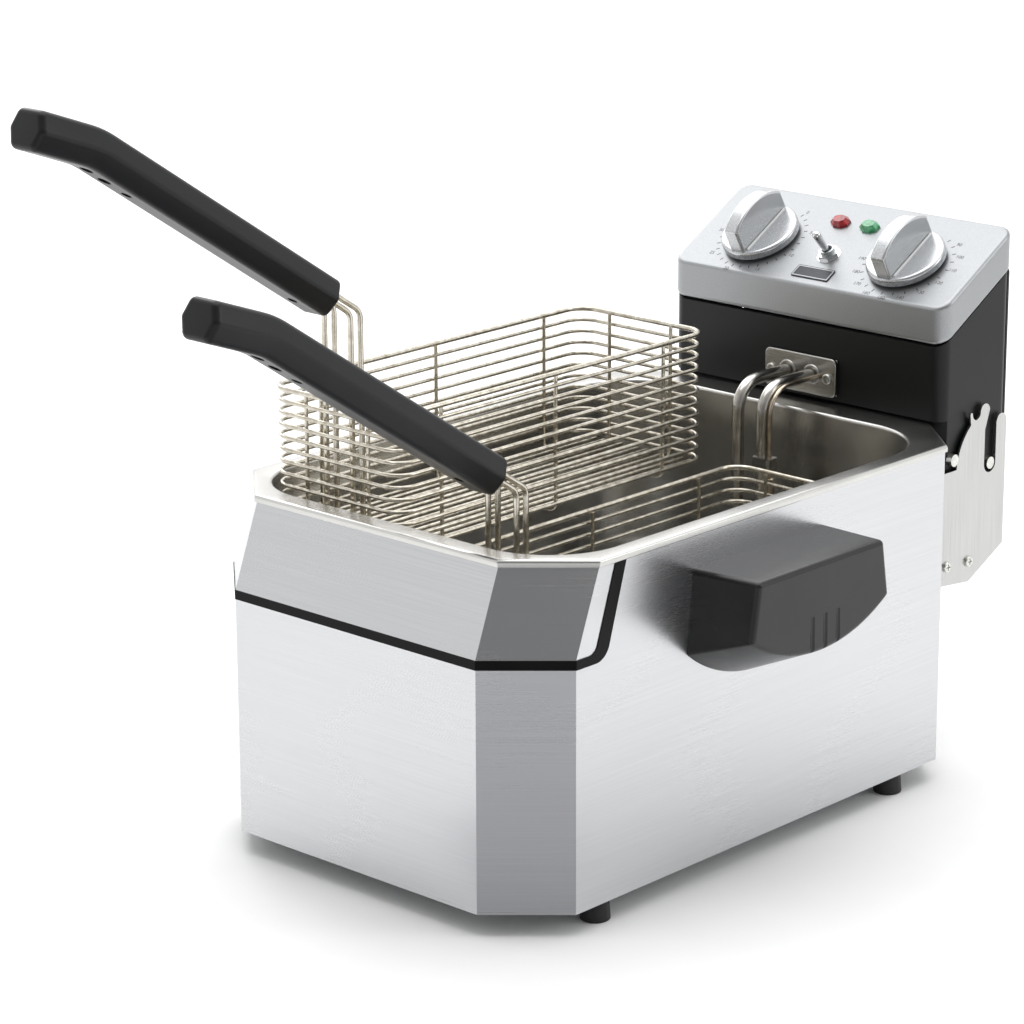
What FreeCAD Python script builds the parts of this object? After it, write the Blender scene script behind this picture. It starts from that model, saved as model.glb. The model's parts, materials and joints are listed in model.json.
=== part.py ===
import FreeCAD, Part
import math
import os
import Sketcher
from FreeCAD import Placement, Rotation, Vector

# Countertop deep fryer with two wire baskets, in millimetres, +Z up, front towards -Y.
# Sub-parts are drawn from the body datum: y 0 is the front panel, z 0 the lower edge of the shell.
# The row's own origin lies on the table under the middle of the overall box.

doc = FreeCAD.newDocument("DeepFryer")
sheet = doc.addObject("Spreadsheet::Sheet", "Size")

DIMENSIONS = {
    "body_width": 280, "body_depth": 421, "corner_across": 42, "corner_back": 38,
    "skin": 1.2, "rim_top": 208.5, "rim_lip": 4.6, "rim_outset": 1.5, "rim_front": 1.3,
    "trim_low": 147.7, "trim_high": 153.5, "trim_side_low": 57, "trim_side_high": 77,
    "trim_side_wide": 9, "fascia_lean": 20.5,
    "tank_half": 129, "tank_front": 33, "tank_rear": 392, "tank_floor": 52, "tank_corner": 50,
    "foot_high": 14, "foot_across": 129, "foot_front": 67, "foot_rear": 347,
    "foot_radius": 8.2, "centre_back": 162.58,
    "head_front": 417, "head_rear": 491, "head_half": 111, "head_low": 160, "head_step": 210,
    "head_back_gap": 7.5, "head_wall": 2, "head_corner": 9, "head_front_high": 258.5,
    "bezel_high": 26.1, "bezel_proud": 1, "panel_angle": 29.5,
    "knob_across": 60, "knob_up": 34.5, "knob_radius": 26.5, "knob_high": 29,
    "knob_skirt": 5.4, "knob_gap": 2.4, "shaft_radius": 3, "shaft_long": 32,
    "lens_across": 12, "lens_up": 60.5, "lens_wide": 14.5, "lens_deep": 11,
    "toggle_up": 29, "toggle_lean": 13, "toggle_long": 22, "toggle_pivot": 1.5,
    "cheek_inner": 113, "cheek_thick": 1.5, "pivot_back": 467.8, "pivot_high": 174.5,
    "latch_back": 428.5, "latch_high": 184, "pin_radius": 4,
    "tube_radius": 4.1, "riser_across": 10, "riser_back": 363, "tube_exit": 226,
    "element_high": 86.5, "element_bend": 18,
    "basket_centre": 66, "basket_wide": 107.5, "basket_front": 52.5, "basket_rear": 333,
    "basket_corner": 14, "basket_pitch": 7.5, "basket_rings": 11, "basket_deep": 88,
    "rim_wire": 1.7, "mesh_wire": 1.25, "raised_rim": 265, "lowered_rim": 182,
    "handle_wire": 1.8, "handle_across": 11, "handle_front": 57.3, "handle_rear": 65.3,
    "handle_bend": 54, "grip_angle": 33, "grip_start": 46, "grip_straight": 209,
    "grip_tail": 46, "grip_tail_angle": 20, "grip_wide": 28, "grip_thick": 23, "grip_flat": 20,
    "side_grip_back": 201, "side_grip_out": 47, "side_grip_wall": 4,
}

for row, (alias, number) in enumerate(DIMENSIONS.items(), start=1):
    sheet.set("A%d" % row, alias)
    sheet.set("B%d" % row, str(number))
    sheet.setAlias("B%d" % row, alias)
doc.recompute()

sub_parts = []


def size(alias):
    return float(sheet.get(alias))


def value(expression):
    result = sheet.evalExpression(expression)
    return float(getattr(result, "Value", result))


X_AXIS = Vector(1, 0, 0)
Y_AXIS = Vector(0, 1, 0)
Z_AXIS = Vector(0, 0, 1)
row_shift = Vector(0, -size("centre_back"), size("foot_high"))
panel_origin = Vector(0, size("head_front"), size("head_front_high") + size("bezel_high"))
panel_place = Placement(panel_origin, Rotation(X_AXIS, size("panel_angle")))
panel_normal = panel_place.Rotation.multVec(Z_AXIS)


# ---------------------------------------------------------------- document helpers

def place_on_row(item):
    """Moves an object from the body datum to the row origin."""
    item.setExpression(".Placement.Base.y", "-Size.centre_back")
    item.setExpression(".Placement.Base.z", "Size.foot_high")


def add_shape(label, shape, on_panel=False):
    """Stores a shape that was made with Part functions as a sub-part."""
    item = doc.addObject("Part::Feature", label)
    item.Label = label
    item.Shape = shape
    row_place = Placement(row_shift, Rotation())
    if on_panel:
        row_place = row_place * panel_place
    item.Placement = row_place * shape.Placement
    sub_parts.append(item)
    return item


def new_body(label, on_panel=False):
    body = doc.addObject("PartDesign::Body", label)
    body.Label = label
    if on_panel:
        body.Placement = Placement(row_shift, Rotation()) * panel_place
    else:
        place_on_row(body)
    sub_parts.append(body)
    return body


def add_shaft(label, radius, height, start):
    """A plain turned shaft square to the panel, as a Part cylinder bound to the sheet."""
    item = doc.addObject("Part::Cylinder", label)
    item.Label = label
    item.setExpression("Radius", radius)
    item.setExpression("Height", height)
    item.Placement = Placement(row_shift, Rotation()) * panel_place * Placement(start, Rotation())
    sub_parts.append(item)


def add_sketch(body, role, offset="0"):
    sketch = body.newObject("Sketcher::SketchObject", body.Name + "_sketch")
    plane = [item for item in body.Origin.OriginFeatures if item.Role == role][0]
    sketch.AttachmentSupport = [(plane, "")]
    sketch.MapMode = "FlatFace"
    sketch.setExpression(".AttachmentOffset.Base.z", offset)
    return sketch


def bind_point(sketch, geometry, position, corner, name):
    """Ties a sketch point to two expressions measured from the sketch origin."""
    for kind, letter, expression in (("DistanceX", "x", corner[0]), ("DistanceY", "y", corner[1])):
        limit = Sketcher.Constraint(kind, -1, 1, geometry, position, value(expression))
        index = sketch.addConstraint(limit)
        sketch.renameConstraint(index, name + letter)
        sketch.setExpression("Constraints." + name + letter, expression)


def draw_polygon(sketch, corners):
    start = sketch.GeometryCount
    count = len(corners)
    places = [Vector(value(x), value(y), 0) for x, y in corners]
    for index in range(count):
        sketch.addGeometry(Part.LineSegment(places[index], places[(index + 1) % count]), False)
    for index in range(count):
        after = start + (index + 1) % count
        sketch.addConstraint(Sketcher.Constraint("Coincident", start + index, 2, after, 1))
    for index, corner in enumerate(corners):
        bind_point(sketch, start + index, 1, corner, "p%d" % (start + index))


def draw_rounded(sketch, left, right, front, rear, radius):
    """Rectangle with four equal tangent corners, all bound to expressions."""
    x = (value(left), value(right))
    y = (value(front), value(rear))
    r = value(radius)
    runs = [((x[0] + r, y[0]), (x[1] - r, y[0])), ((x[1], y[0] + r), (x[1], y[1] - r)),
            ((x[1] - r, y[1]), (x[0] + r, y[1])), ((x[0], y[1] - r), (x[0], y[0] + r))]
    hubs = [(x[1] - r, y[0] + r, -90), (x[1] - r, y[1] - r, 0),
            (x[0] + r, y[1] - r, 90), (x[0] + r, y[0] + r, 180)]
    for start, end in runs:
        sketch.addGeometry(Part.LineSegment(Vector(start[0], start[1], 0), Vector(end[0], end[1], 0)), False)
    for across, back, turn in hubs:
        circle = Part.Circle(Vector(across, back, 0), Z_AXIS, r)
        begin = math.radians(turn)
        sketch.addGeometry(Part.ArcOfCircle(circle, begin, begin + math.pi / 2), False)
    for index in range(4):
        sketch.addConstraint(Sketcher.Constraint("Tangent", index, 2, 4 + index, 1))
        sketch.addConstraint(Sketcher.Constraint("Tangent", 4 + index, 2, (index + 1) % 4, 1))
        sketch.addConstraint(Sketcher.Constraint("Vertical" if index % 2 else "Horizontal", index))
    for index in range(1, 4):
        sketch.addConstraint(Sketcher.Constraint("Equal", 4, 4 + index))
    limits = [("Radius", (4, r), "corner", radius), ("DistanceY", (-1, 1, 0, 1, y[0]), "front", front),
              ("DistanceX", (-1, 1, 1, 1, x[1]), "right", right), ("DistanceY", (-1, 1, 2, 1, y[1]), "rear", rear),
              ("DistanceX", (-1, 1, 3, 1, x[0]), "left", left)]
    for kind, arguments, name, expression in limits:
        index = sketch.addConstraint(Sketcher.Constraint(kind, *arguments))
        sketch.renameConstraint(index, name)
        sketch.setExpression("Constraints." + name, expression)


def draw_circle(sketch, centre, radius):
    index = sketch.GeometryCount
    middle = Vector(value(centre[0]), value(centre[1]), 0)
    sketch.addGeometry(Part.Circle(middle, Z_AXIS, value(radius)), False)
    limit = sketch.addConstraint(Sketcher.Constraint("Radius", index, value(radius)))
    sketch.renameConstraint(limit, "r%d" % index)
    sketch.setExpression("Constraints.r%d" % index, radius)
    bind_point(sketch, index, 3, centre, "c%d" % index)


def add_feature(body, kind, sketch, length, reverse=False, middle=False):
    before = body.Shape.Volume if body.Tip else 0
    feature = body.newObject("PartDesign::" + kind, body.Name + "_" + kind.lower())
    feature.Profile = sketch
    feature.setExpression("Length", length)
    feature.Reversed = reverse
    feature.Midplane = middle
    body.Tip = feature
    doc.recompute()
    if abs(body.Shape.Volume - before) < 1e-6:
        raise ValueError(body.Label + ": a feature changed nothing")
    return feature


def round_edges(body, radius, wanted):
    """Adds a Fillet on the tip's edges that the test accepts."""
    tip = body.Tip
    names = ["Edge%d" % n for n, edge in enumerate(tip.Shape.Edges, 1) if wanted(edge)]
    fillet = body.newObject("PartDesign::Fillet", body.Name + "_fillet")
    fillet.Base = (tip, names)
    fillet.setExpression("Radius", radius)
    body.Tip = fillet
    doc.recompute()
    return fillet


def is_vertical(edge):
    box = edge.BoundBox
    return box.XLength < 0.01 and box.YLength < 0.01 and box.ZLength > 1


# ---------------------------------------------------------------- shape helpers

def cylinder(radius, length, start, direction):
    return Part.makeCylinder(radius, length, start, direction)


def block(low, high):
    span = high - low
    return Part.makeBox(span.x, span.y, span.z, low)


def prism_x(outline, half, centre=0.0):
    """Extrudes a closed outline, given as (y, z) points or edges, along X."""
    if isinstance(outline[0], tuple):
        points = [Vector(centre - half, y, z) for y, z in outline]
        wire = Part.makePolygon(points + points[:1])
    else:
        wire = Part.Wire(outline)
        wire.translate(Vector(centre - half, 0, 0))
    return Part.Face(wire).extrude(Vector(2 * half, 0, 0))


def rounded_edges(points, bend):
    """Straight runs joined by tangent arcs, in order."""
    edges = []
    last = points[0]
    for before, corner, after in zip(points, points[1:], points[2:]):
        back = (before - corner).normalize()
        ahead = (after - corner).normalize()
        half_angle = back.getAngle(ahead) / 2
        reach = bend / math.tan(half_angle)
        inward = (back + ahead).normalize()
        middle = corner + inward * (bend / math.sin(half_angle) - bend)
        begin = corner + back * reach
        end = corner + ahead * reach
        if (begin - last).Length > 1e-6:
            edges.append(Part.makeLine(last, begin))
        edges.append(Part.Arc(begin, middle, end).toShape())
        last = end
    edges.append(Part.makeLine(last, points[-1]))
    return edges


def rounded_path(points, bend):
    return Part.Wire(rounded_edges(points, bend))


def swept(edges, radius):
    """A round wire or tube along joined edges."""
    first = edges[0]
    start = first.valueAt(first.FirstParameter)
    heading = first.tangentAt(first.FirstParameter)
    section = Part.Wire(Part.makeCircle(radius, start, heading))
    return Part.Wire(edges).makePipeShell([section], True, False)


def rod(points, radius, bend):
    return swept(rounded_edges(points, bend), radius)


def straight(start, end, radius):
    return cylinder(radius, (end - start).Length, start, end - start)


def octagon(inset=0.0, front=0.0, rear=0.0, high=0.0):
    """Body outline, moved inwards, with the front and rear edges moved back."""
    half = size("body_width") / 2 - inset
    lean = math.atan2(size("corner_back"), size("corner_across"))
    across = size("body_width") / 2 - size("corner_across") - inset * math.tan(lean / 2)
    back = size("corner_back") + inset * math.tan(math.pi / 4 - lean / 2)
    first = front + inset
    last = size("body_depth") + rear - inset
    low = [(-across, first), (across, first), (half, front + back)]
    high_side = [(half, last - back + inset), (across, last), (-across, last)]
    outline = low + high_side + [(-half, last - back + inset), (-half, front + back)]
    return [Vector(x, y, high) for x, y in outline]


def octagon_expressions(inset):
    """The same outline for a sketch, as expressions of the sheet."""
    lean = "atan(Size.corner_back/Size.corner_across)"
    half = "(Size.body_width/2-(%s))" % inset
    across = "(Size.body_width/2-Size.corner_across-(%s)*tan(%s/2))" % (inset, lean)
    back = "(Size.corner_back+(%s)*tan(45deg-%s/2))" % (inset, lean)
    last = "(Size.body_depth-(%s))" % inset
    rear_side = "(Size.body_depth-%s)" % back
    return [("-" + across, inset), (across, inset), (half, back), (half, rear_side),
            (across, last), ("-" + across, last), ("-" + half, rear_side), ("-" + half, back)]


def prism_z(points, height):
    wire = Part.makePolygon(points + points[:1])
    return Part.Face(wire).extrude(Vector(0, 0, height))


def screw(start, direction, shank, length, head, head_high, cross=True):
    """Pan head screw: the head stands behind start, and the shank runs along direction."""
    heading = Vector(direction).normalize()
    body = cylinder(shank, length, start, heading)
    cap = cylinder(head, head_high, start - heading * head_high, heading)
    cap = cap.makeFillet(head_high * 0.45, [cap.Edges[0] if cap.Edges[0].Curve.Center.distanceToPoint(
        start) > head_high * 0.5 else cap.Edges[2]])
    whole = cap.fuse(body)
    if cross:
        slot = block(Vector(-0.4, -head * 0.6, 0), Vector(0.4, head * 0.6, head_high * 0.5))
        turned = slot.fuse(slot.rotated(Vector(0, 0, 0), Z_AXIS, 90))
        turned.Placement = Placement(start - heading * head_high, Rotation(Z_AXIS, heading))
        whole = whole.cut(turned)
    return whole.removeSplitter()


# ---------------------------------------------------------------- body and trim

def trim_band(grow=0.0):
    """Side view of the band that the black strip fills, open towards the front and top."""
    low = size("trim_low") - grow
    high = size("trim_high") + grow
    foot = size("trim_side_low")
    top = size("trim_side_high")
    wide = size("trim_side_wide")
    above = size("rim_top") + 5
    outer = rounded_path([Vector(0, -5, low), Vector(0, foot + wide - 3, low),
                          Vector(0, top + 6, above)], 12)
    inner = rounded_path([Vector(0, -5, high), Vector(0, foot - 3, high),
                          Vector(0, top + 6 - wide, above)], 7)
    return outer, inner


def front_region(path, high):
    """Everything in front of and above a band line, as a prism across the body."""
    first = path.Vertexes[0].Point
    last = path.Vertexes[-1].Point
    closing = Part.makePolygon([last, Vector(0, -5, last.z), first])
    wire = Part.Wire(path.Edges + closing.Edges)
    wire.translate(Vector(-high, 0, 0))
    return Part.Face(wire).extrude(Vector(2 * high, 0, 0))


def make_shell():
    """Lower shell: folded stainless sheet, cut away where the fascia and strip sit."""
    body = new_body("outer_shell")
    outline = add_sketch(body, "XY_Plane")
    draw_polygon(outline, octagon_expressions("0"))
    add_feature(body, "Pad", outline, "Size.rim_top-Size.skin")
    inside = add_sketch(body, "XY_Plane")
    draw_polygon(inside, octagon_expressions("Size.skin"))
    add_feature(body, "Pocket", inside, "Size.rim_top", reverse=True)
    window = add_sketch(body, "YZ_Plane")
    low = "Size.trim_low"
    foot = "(Size.trim_side_low+Size.trim_side_wide-3)"
    draw_polygon(window, [("-5", low), (foot, low), ("Size.trim_side_high+6", "Size.rim_top+5"),
                          ("-5", "Size.rim_top+5")])
    add_feature(body, "Pocket", window, "Size.body_width+10", middle=True)
    corner_height = size("trim_low")
    round_edges(body, "12", lambda edge: abs(edge.BoundBox.ZMin - corner_height) < 0.01
                and edge.BoundBox.ZLength < 0.01 and edge.BoundBox.YLength < 0.01
                and edge.BoundBox.XLength < 3)
    holes = add_sketch(body, "YZ_Plane")
    for back in (-38, 38):
        draw_circle(holes, ("Size.side_grip_back+(%d)" % back, "158"), "2.6")
    add_feature(body, "Pocket", holes, "Size.body_width+10", middle=True)
    return body


def make_fascia():
    """Leaning front panel: the body outline sheared back towards the rim."""
    inner_path = trim_band()[1]
    low = size("trim_high")
    high = size("rim_top") - size("skin")
    lean = size("fascia_lean")

    def leaning(inset):
        def outline(front, level):
            near = octagon(inset, front, 0, level)[:3]
            right = Vector(near[2].x, 130, level)
            left = Vector(-near[2].x, 130, level)
            start = Vector(-near[2].x, near[2].y, level)
            return Part.makePolygon([start] + near + [right, left, start])
        return Part.makeLoft([outline(0, low), outline(lean, high)], True, True)

    panel = leaning(0).cut(leaning(size("skin")))
    panel = panel.common(front_region(inner_path, size("body_width")))
    add_shape("front_fascia", panel)


def make_trim():
    """Black moulded strip between the shell and the fascia."""
    outer_path, inner_path = trim_band()
    band = front_region(outer_path, 200).cut(front_region(inner_path, 200))
    top = size("rim_top") - size("skin")
    below_lip = size("rim_top") - size("rim_lip") - 0.3
    sleeve = prism_z(octagon(-0.5), below_lip).fuse(prism_z(octagon(-0.2), top))
    sleeve = sleeve.cut(prism_z(octagon(2.6), top))
    add_shape("trim_strip", band.common(sleeve))


def make_base():
    body = new_body("base_plate")
    outline = add_sketch(body, "XY_Plane")
    draw_polygon(outline, octagon_expressions("Size.skin"))
    add_feature(body, "Pad", outline, "1.5")
    holes = add_sketch(body, "XY_Plane")
    for side in ("", "-"):
        for place in ("foot_front", "foot_rear"):
            draw_circle(holes, (side + "Size.foot_across", "Size." + place), "2")
    for step in range(5):
        for side in (-1, 1):
            draw_circle(holes, ("%d" % (side * 40), "%d" % (110 + 50 * step)), "5")
    add_feature(body, "Pocket", holes, "5", reverse=True)


def foot_places():
    across = size("foot_across")
    return [Vector(x, y, 0) for x in (-across, across)
            for y in (size("foot_front"), size("foot_rear"))]


def make_feet():
    """Rubber feet, wider at the table, each held by one screw from below."""
    radius = size("foot_radius")
    high = size("foot_high")
    feet = []
    screws = []
    for place in foot_places():
        foot = Part.makeCone(radius + 0.9, radius, high, place - Z_AXIS * high)
        foot = foot.makeFillet(1.2, [edge for edge in foot.Edges
                                     if edge.BoundBox.ZLength < 0.01 and edge.BoundBox.ZMin < -high + 0.1])
        foot = foot.cut(cylinder(4.6, 7, place - Z_AXIS * high, Z_AXIS))
        foot = foot.cut(cylinder(2, high, place - Z_AXIS * high, Z_AXIS))
        feet.append(foot)
        screws.append(screw(place - Z_AXIS * (high - 7), Z_AXIS, 2, 12, 4.2, 2.8))
    add_shape("rubber_feet", Part.makeCompound(feet))
    add_shape("foot_screws", Part.makeCompound(screws))


def make_tank():
    """Drawn stainless oil tank, with a flange that covers the shell's upper edge."""
    body = new_body("oil_tank")
    flange = add_sketch(body, "XY_Plane", "Size.rim_top-Size.rim_lip")
    outset = "-Size.rim_outset"
    corners = octagon_expressions(outset)
    shifted = [(x, "(%s)+Size.fascia_lean-Size.rim_front" % y) if index in (0, 1, 2, 7) else (x, y)
               for index, (x, y) in enumerate(corners)]
    draw_polygon(flange, shifted)
    add_feature(body, "Pad", flange, "Size.rim_lip")
    under = add_sketch(body, "XY_Plane", "Size.rim_top-Size.rim_lip")
    corners = octagon_expressions("-Size.rim_outset+Size.skin")
    shifted = [(x, "(%s)+Size.fascia_lean-Size.rim_front" % y) if index in (0, 1, 2, 7) else (x, y)
               for index, (x, y) in enumerate(corners)]
    draw_polygon(under, shifted)
    add_feature(body, "Pocket", under, "Size.rim_lip-Size.skin", reverse=True)
    basin = add_sketch(body, "XY_Plane", "Size.tank_floor-Size.skin")
    draw_rounded(basin, "-Size.tank_half-Size.skin", "Size.tank_half+Size.skin", "Size.tank_front-Size.skin",
                 "Size.tank_rear+Size.skin", "Size.tank_corner+Size.skin")
    add_feature(body, "Pad", basin, "Size.rim_top-Size.tank_floor")
    hollow = add_sketch(body, "XY_Plane", "Size.tank_floor")
    draw_rounded(hollow, "-Size.tank_half", "Size.tank_half", "Size.tank_front", "Size.tank_rear", "Size.tank_corner")
    add_feature(body, "Pocket", hollow, "Size.rim_top", reverse=True)
    inner_floor = size("tank_floor")
    outer_floor = inner_floor - size("skin")
    round_edges(body, "12", lambda edge: abs(edge.BoundBox.ZMin - inner_floor) < 0.01
                and edge.BoundBox.ZLength < 0.01)
    round_edges(body, "12+Size.skin", lambda edge: abs(edge.BoundBox.ZMin - outer_floor) < 0.01
                and edge.BoundBox.ZLength < 0.01)
    round_edges(body, "2.2", lambda edge: abs(edge.BoundBox.ZMin - size("rim_top")) < 0.01
                and edge.BoundBox.ZLength < 0.01)


# ---------------------------------------------------------------- side handles

def side_profile(out, top_half, low_half, top, shoulder, belly):
    middle = size("side_grip_back")
    a = Vector(out, middle - top_half, top)
    b = Vector(out, middle + top_half, top)
    c = Vector(out, middle + low_half, shoulder)
    d = Vector(out, middle - low_half, shoulder)
    arc = Part.Arc(c, Vector(out, middle, belly), d).toShape()
    return Part.Wire([Part.makeLine(a, b), Part.makeLine(b, c), arc, Part.makeLine(d, a)])


def make_side_handle(label, side):
    """Moulded lifting grip: hollow behind, arched below, with three thumb flutes."""
    wall = size("body_width") / 2
    out = wall + size("side_grip_out")
    thick = size("side_grip_wall")
    middle = size("side_grip_back")
    solid = Part.makeLoft([side_profile(wall, 62, 67, 183.5, 133, 109),
                           side_profile(out, 58.5, 64.5, 184, 149.5, 130)], True, True)
    rounded = [edge for edge in solid.Edges if edge.BoundBox.XMax > wall + 1]
    solid = solid.makeFillet(3.2, rounded)
    hollow = Part.makeLoft([side_profile(wall - 1, 62 - thick, 67 - thick, 183.5 - thick, 133, 113),
                            side_profile(out - thick, 58.5 - thick, 64.5 - thick, 184 - thick,
                                         149.5, 134)], True, True)
    solid = solid.cut(hollow)
    for back in (-38, 38):
        start = Vector(wall, middle + back, 158)
        solid = solid.fuse(cylinder(5, size("side_grip_out") - thick + 1, start, X_AXIS))
        solid = solid.cut(cylinder(2, 30, start, X_AXIS))
    for step in (-9, 3, 15):
        flute = cylinder(2.6, 26, Vector(out + 1.4, middle + step, 126), Vector(0.02, 0, 1))
        solid = solid.cut(flute)
    if side < 0:
        solid = solid.mirror(Vector(0, 0, 0), X_AXIS)
    add_shape(label, solid)


def make_side_handle_screws():
    wall = size("body_width") / 2 - size("skin")
    screws = []
    for side in (-1, 1):
        for back in (-38, 38):
            start = Vector(side * wall, size("side_grip_back") + back, 158)
            screws.append(screw(start, Vector(side, 0, 0), 2, 18, 4, 2.6))
    add_shape("side_handle_screws", Part.makeCompound(screws))


# ---------------------------------------------------------------- rear brackets

def cheek_outline():
    """Side view of one hinge cheek: arc, latch notch, slot and rear arm."""
    pivot = Vector(0, size("pivot_back"), size("pivot_high"))
    reach = 36.2

    def on_arc(degrees):
        angle = math.radians(degrees)
        return pivot + Vector(0, math.cos(angle), math.sin(angle)) * reach

    def at(back, high):
        return Vector(0, back, high)

    notch = size("pivot_back") - 15.95
    edges = [Part.makeLine(at(407.5, 103), at(407.5, 177)),
             Part.makeLine(at(407.5, 177), on_arc(176)),
             Part.Arc(on_arc(176), on_arc(150), on_arc(127)).toShape(),
             Part.makeLine(on_arc(127), at(notch - 6.9, 210.5)),
             Part.Arc(at(notch - 6.9, 210.5), at(notch - 5.6, 211.8), at(notch - 4.3, 210.5)).toShape(),
             Part.Arc(at(notch - 4.3, 210.5), at(notch, 206.2), at(notch + 4.3, 210.5)).toShape(),
             Part.makeLine(at(notch + 4.3, 210.5), at(notch + 4.3, 211)),
             Part.Arc(at(notch + 4.3, 211), at(notch + 8.5, 215.2), at(466.2, 210.5)).toShape(),
             Part.makeLine(at(466.2, 210.5), at(461.6, 198)),
             Part.makeLine(at(461.6, 198), at(461.6, 174.5)),
             Part.Arc(at(461.6, 174.5), at(467.8, 168.3), at(474, 174.5)).toShape(),
             Part.makeLine(at(474, 174.5), at(474, 200)),
             Part.Arc(at(474, 200), at(479.5, 205.5), at(485, 200)).toShape(),
             Part.makeLine(at(485, 200), at(485, 117)),
             Part.makeLine(at(485, 117), at(448, 98.5)),
             Part.makeLine(at(448, 98.5), at(407.5, 103))]
    return edges


def make_bracket(label, side):
    """Stainless hinge cheek with a flange screwed to the rear of the shell."""
    inner = size("cheek_inner")
    thick = size("cheek_thick")
    cheek = prism_x(cheek_outline(), thick / 2, inner + thick / 2)
    rear = size("body_depth")
    flange = block(Vector(84, rear, 124), Vector(inner, rear + thick, 170))
    for high in flange_screw_heights():
        flange = flange.cut(cylinder(2, 10, Vector(91, rear - 4, high), Y_AXIS))
    cheek = cheek.fuse(flange)
    for back, high in bracket_screw_places():
        cheek = cheek.cut(cylinder(2, 10, Vector(inner - 4, back, high), X_AXIS))
    cheek = cheek.removeSplitter()
    if side < 0:
        cheek = cheek.mirror(Vector(0, 0, 0), X_AXIS)
    add_shape(label, cheek)


def bracket_screw_places():
    return [(423.5, 114), (447, 112.6)]


def flange_screw_heights():
    return [131, 161]


def make_bracket_tie():
    """Channel that joins the two cheeks below the control head."""
    inner = size("cheek_inner")
    sheet_thick = size("cheek_thick")
    web = block(Vector(-inner, 428.5, 105), Vector(inner, 455, 105 + sheet_thick))
    for side in (-1, 1):
        tab = block(Vector(side * inner - (sheet_thick if side > 0 else 0), 416, 105),
                    Vector(side * inner + (0 if side > 0 else sheet_thick), 455, 121))
        tab = tab.cut(block(Vector(-200, 410, 100), Vector(200, 428.5, 108)))
        for back, high in bracket_screw_places():
            tab = tab.cut(cylinder(2, 20, Vector(side * inner - 10, back, high), X_AXIS))
        web = web.fuse(tab)
    add_shape("bracket_tie", web.removeSplitter())


def make_bracket_screws():
    outer = size("cheek_inner") + size("cheek_thick")
    flange_face = size("body_depth") + size("cheek_thick")
    screws = []
    for side in (-1, 1):
        for back, high in bracket_screw_places():
            screws.append(screw(Vector(side * outer, back, high), Vector(-side, 0, 0), 2, 6, 3.6, 1.8))
        for high in flange_screw_heights():
            screws.append(screw(Vector(side * 91, flange_face, high), Vector(0, -1, 0), 2, 1.5, 3.6, 1.8))
    add_shape("bracket_screws", Part.makeCompound(screws))


# ---------------------------------------------------------------- control head

def head_line(back, drop=0.0):
    """Height of the sloping joint between housing and bezel at a depth."""
    run = back - size("head_front")
    return size("head_front_high") - drop + run * math.tan(math.radians(size("panel_angle")))


def head_profile(wall, front_extra=0.0, top_extra=0.0):
    """Side view of the housing, moved inwards by a wall."""
    front = size("head_front") + wall
    step = size("head_front") + size("head_back_gap") + wall
    rear = size("head_rear") + front_extra
    low = size("head_low") + wall
    knee = size("head_step") + wall
    return [(front, knee), (step, knee), (step, low), (rear, low),
            (rear, head_line(rear) + top_extra), (front, head_line(front) + top_extra)]


def make_housing():
    """Black sheet housing of the head: open at the rear and at the sloping top."""
    half = size("head_half")
    wall = size("head_wall")
    outer = prism_x(head_profile(0), half)
    corner = [edge for edge in outer.Edges if is_vertical(edge)
              and (abs(edge.BoundBox.YMin - size("head_front")) < 0.01
                   or abs(edge.BoundBox.YMin - size("head_rear")) < 0.01)]
    outer = outer.makeFillet(size("head_corner"), corner)
    hollow = prism_x(head_profile(wall, 10, 30), half - wall)
    corner = [edge for edge in hollow.Edges if is_vertical(edge)
              and abs(edge.BoundBox.YMin - size("head_front") - wall) < 0.01]
    hollow = hollow.makeFillet(size("head_corner") - wall, corner)
    shell = outer.cut(hollow)
    exit_high = size("tube_exit")
    front = size("head_front")
    for side in (-1, 1):
        hole = cylinder(size("tube_radius") + 0.8, 12, Vector(side * size("riser_across"), front - 4, exit_high), Y_AXIS)
        shell = shell.cut(hole)
        shell = shell.cut(cylinder(1.6, 12, Vector(side * 23, front - 4, exit_high - 1), Y_AXIS))
        for back, high in ((size("pivot_back"), size("pivot_high")), (size("latch_back"), size("latch_high"))):
            shell = shell.cut(cylinder(2.2, 8, Vector(side * half - 4, back, high), X_AXIS))
    shell = shell.cut(cylinder(1.7, 12, Vector(capillary_across(), front - 4, exit_high), Y_AXIS))
    add_shape("head_housing", shell)


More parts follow.
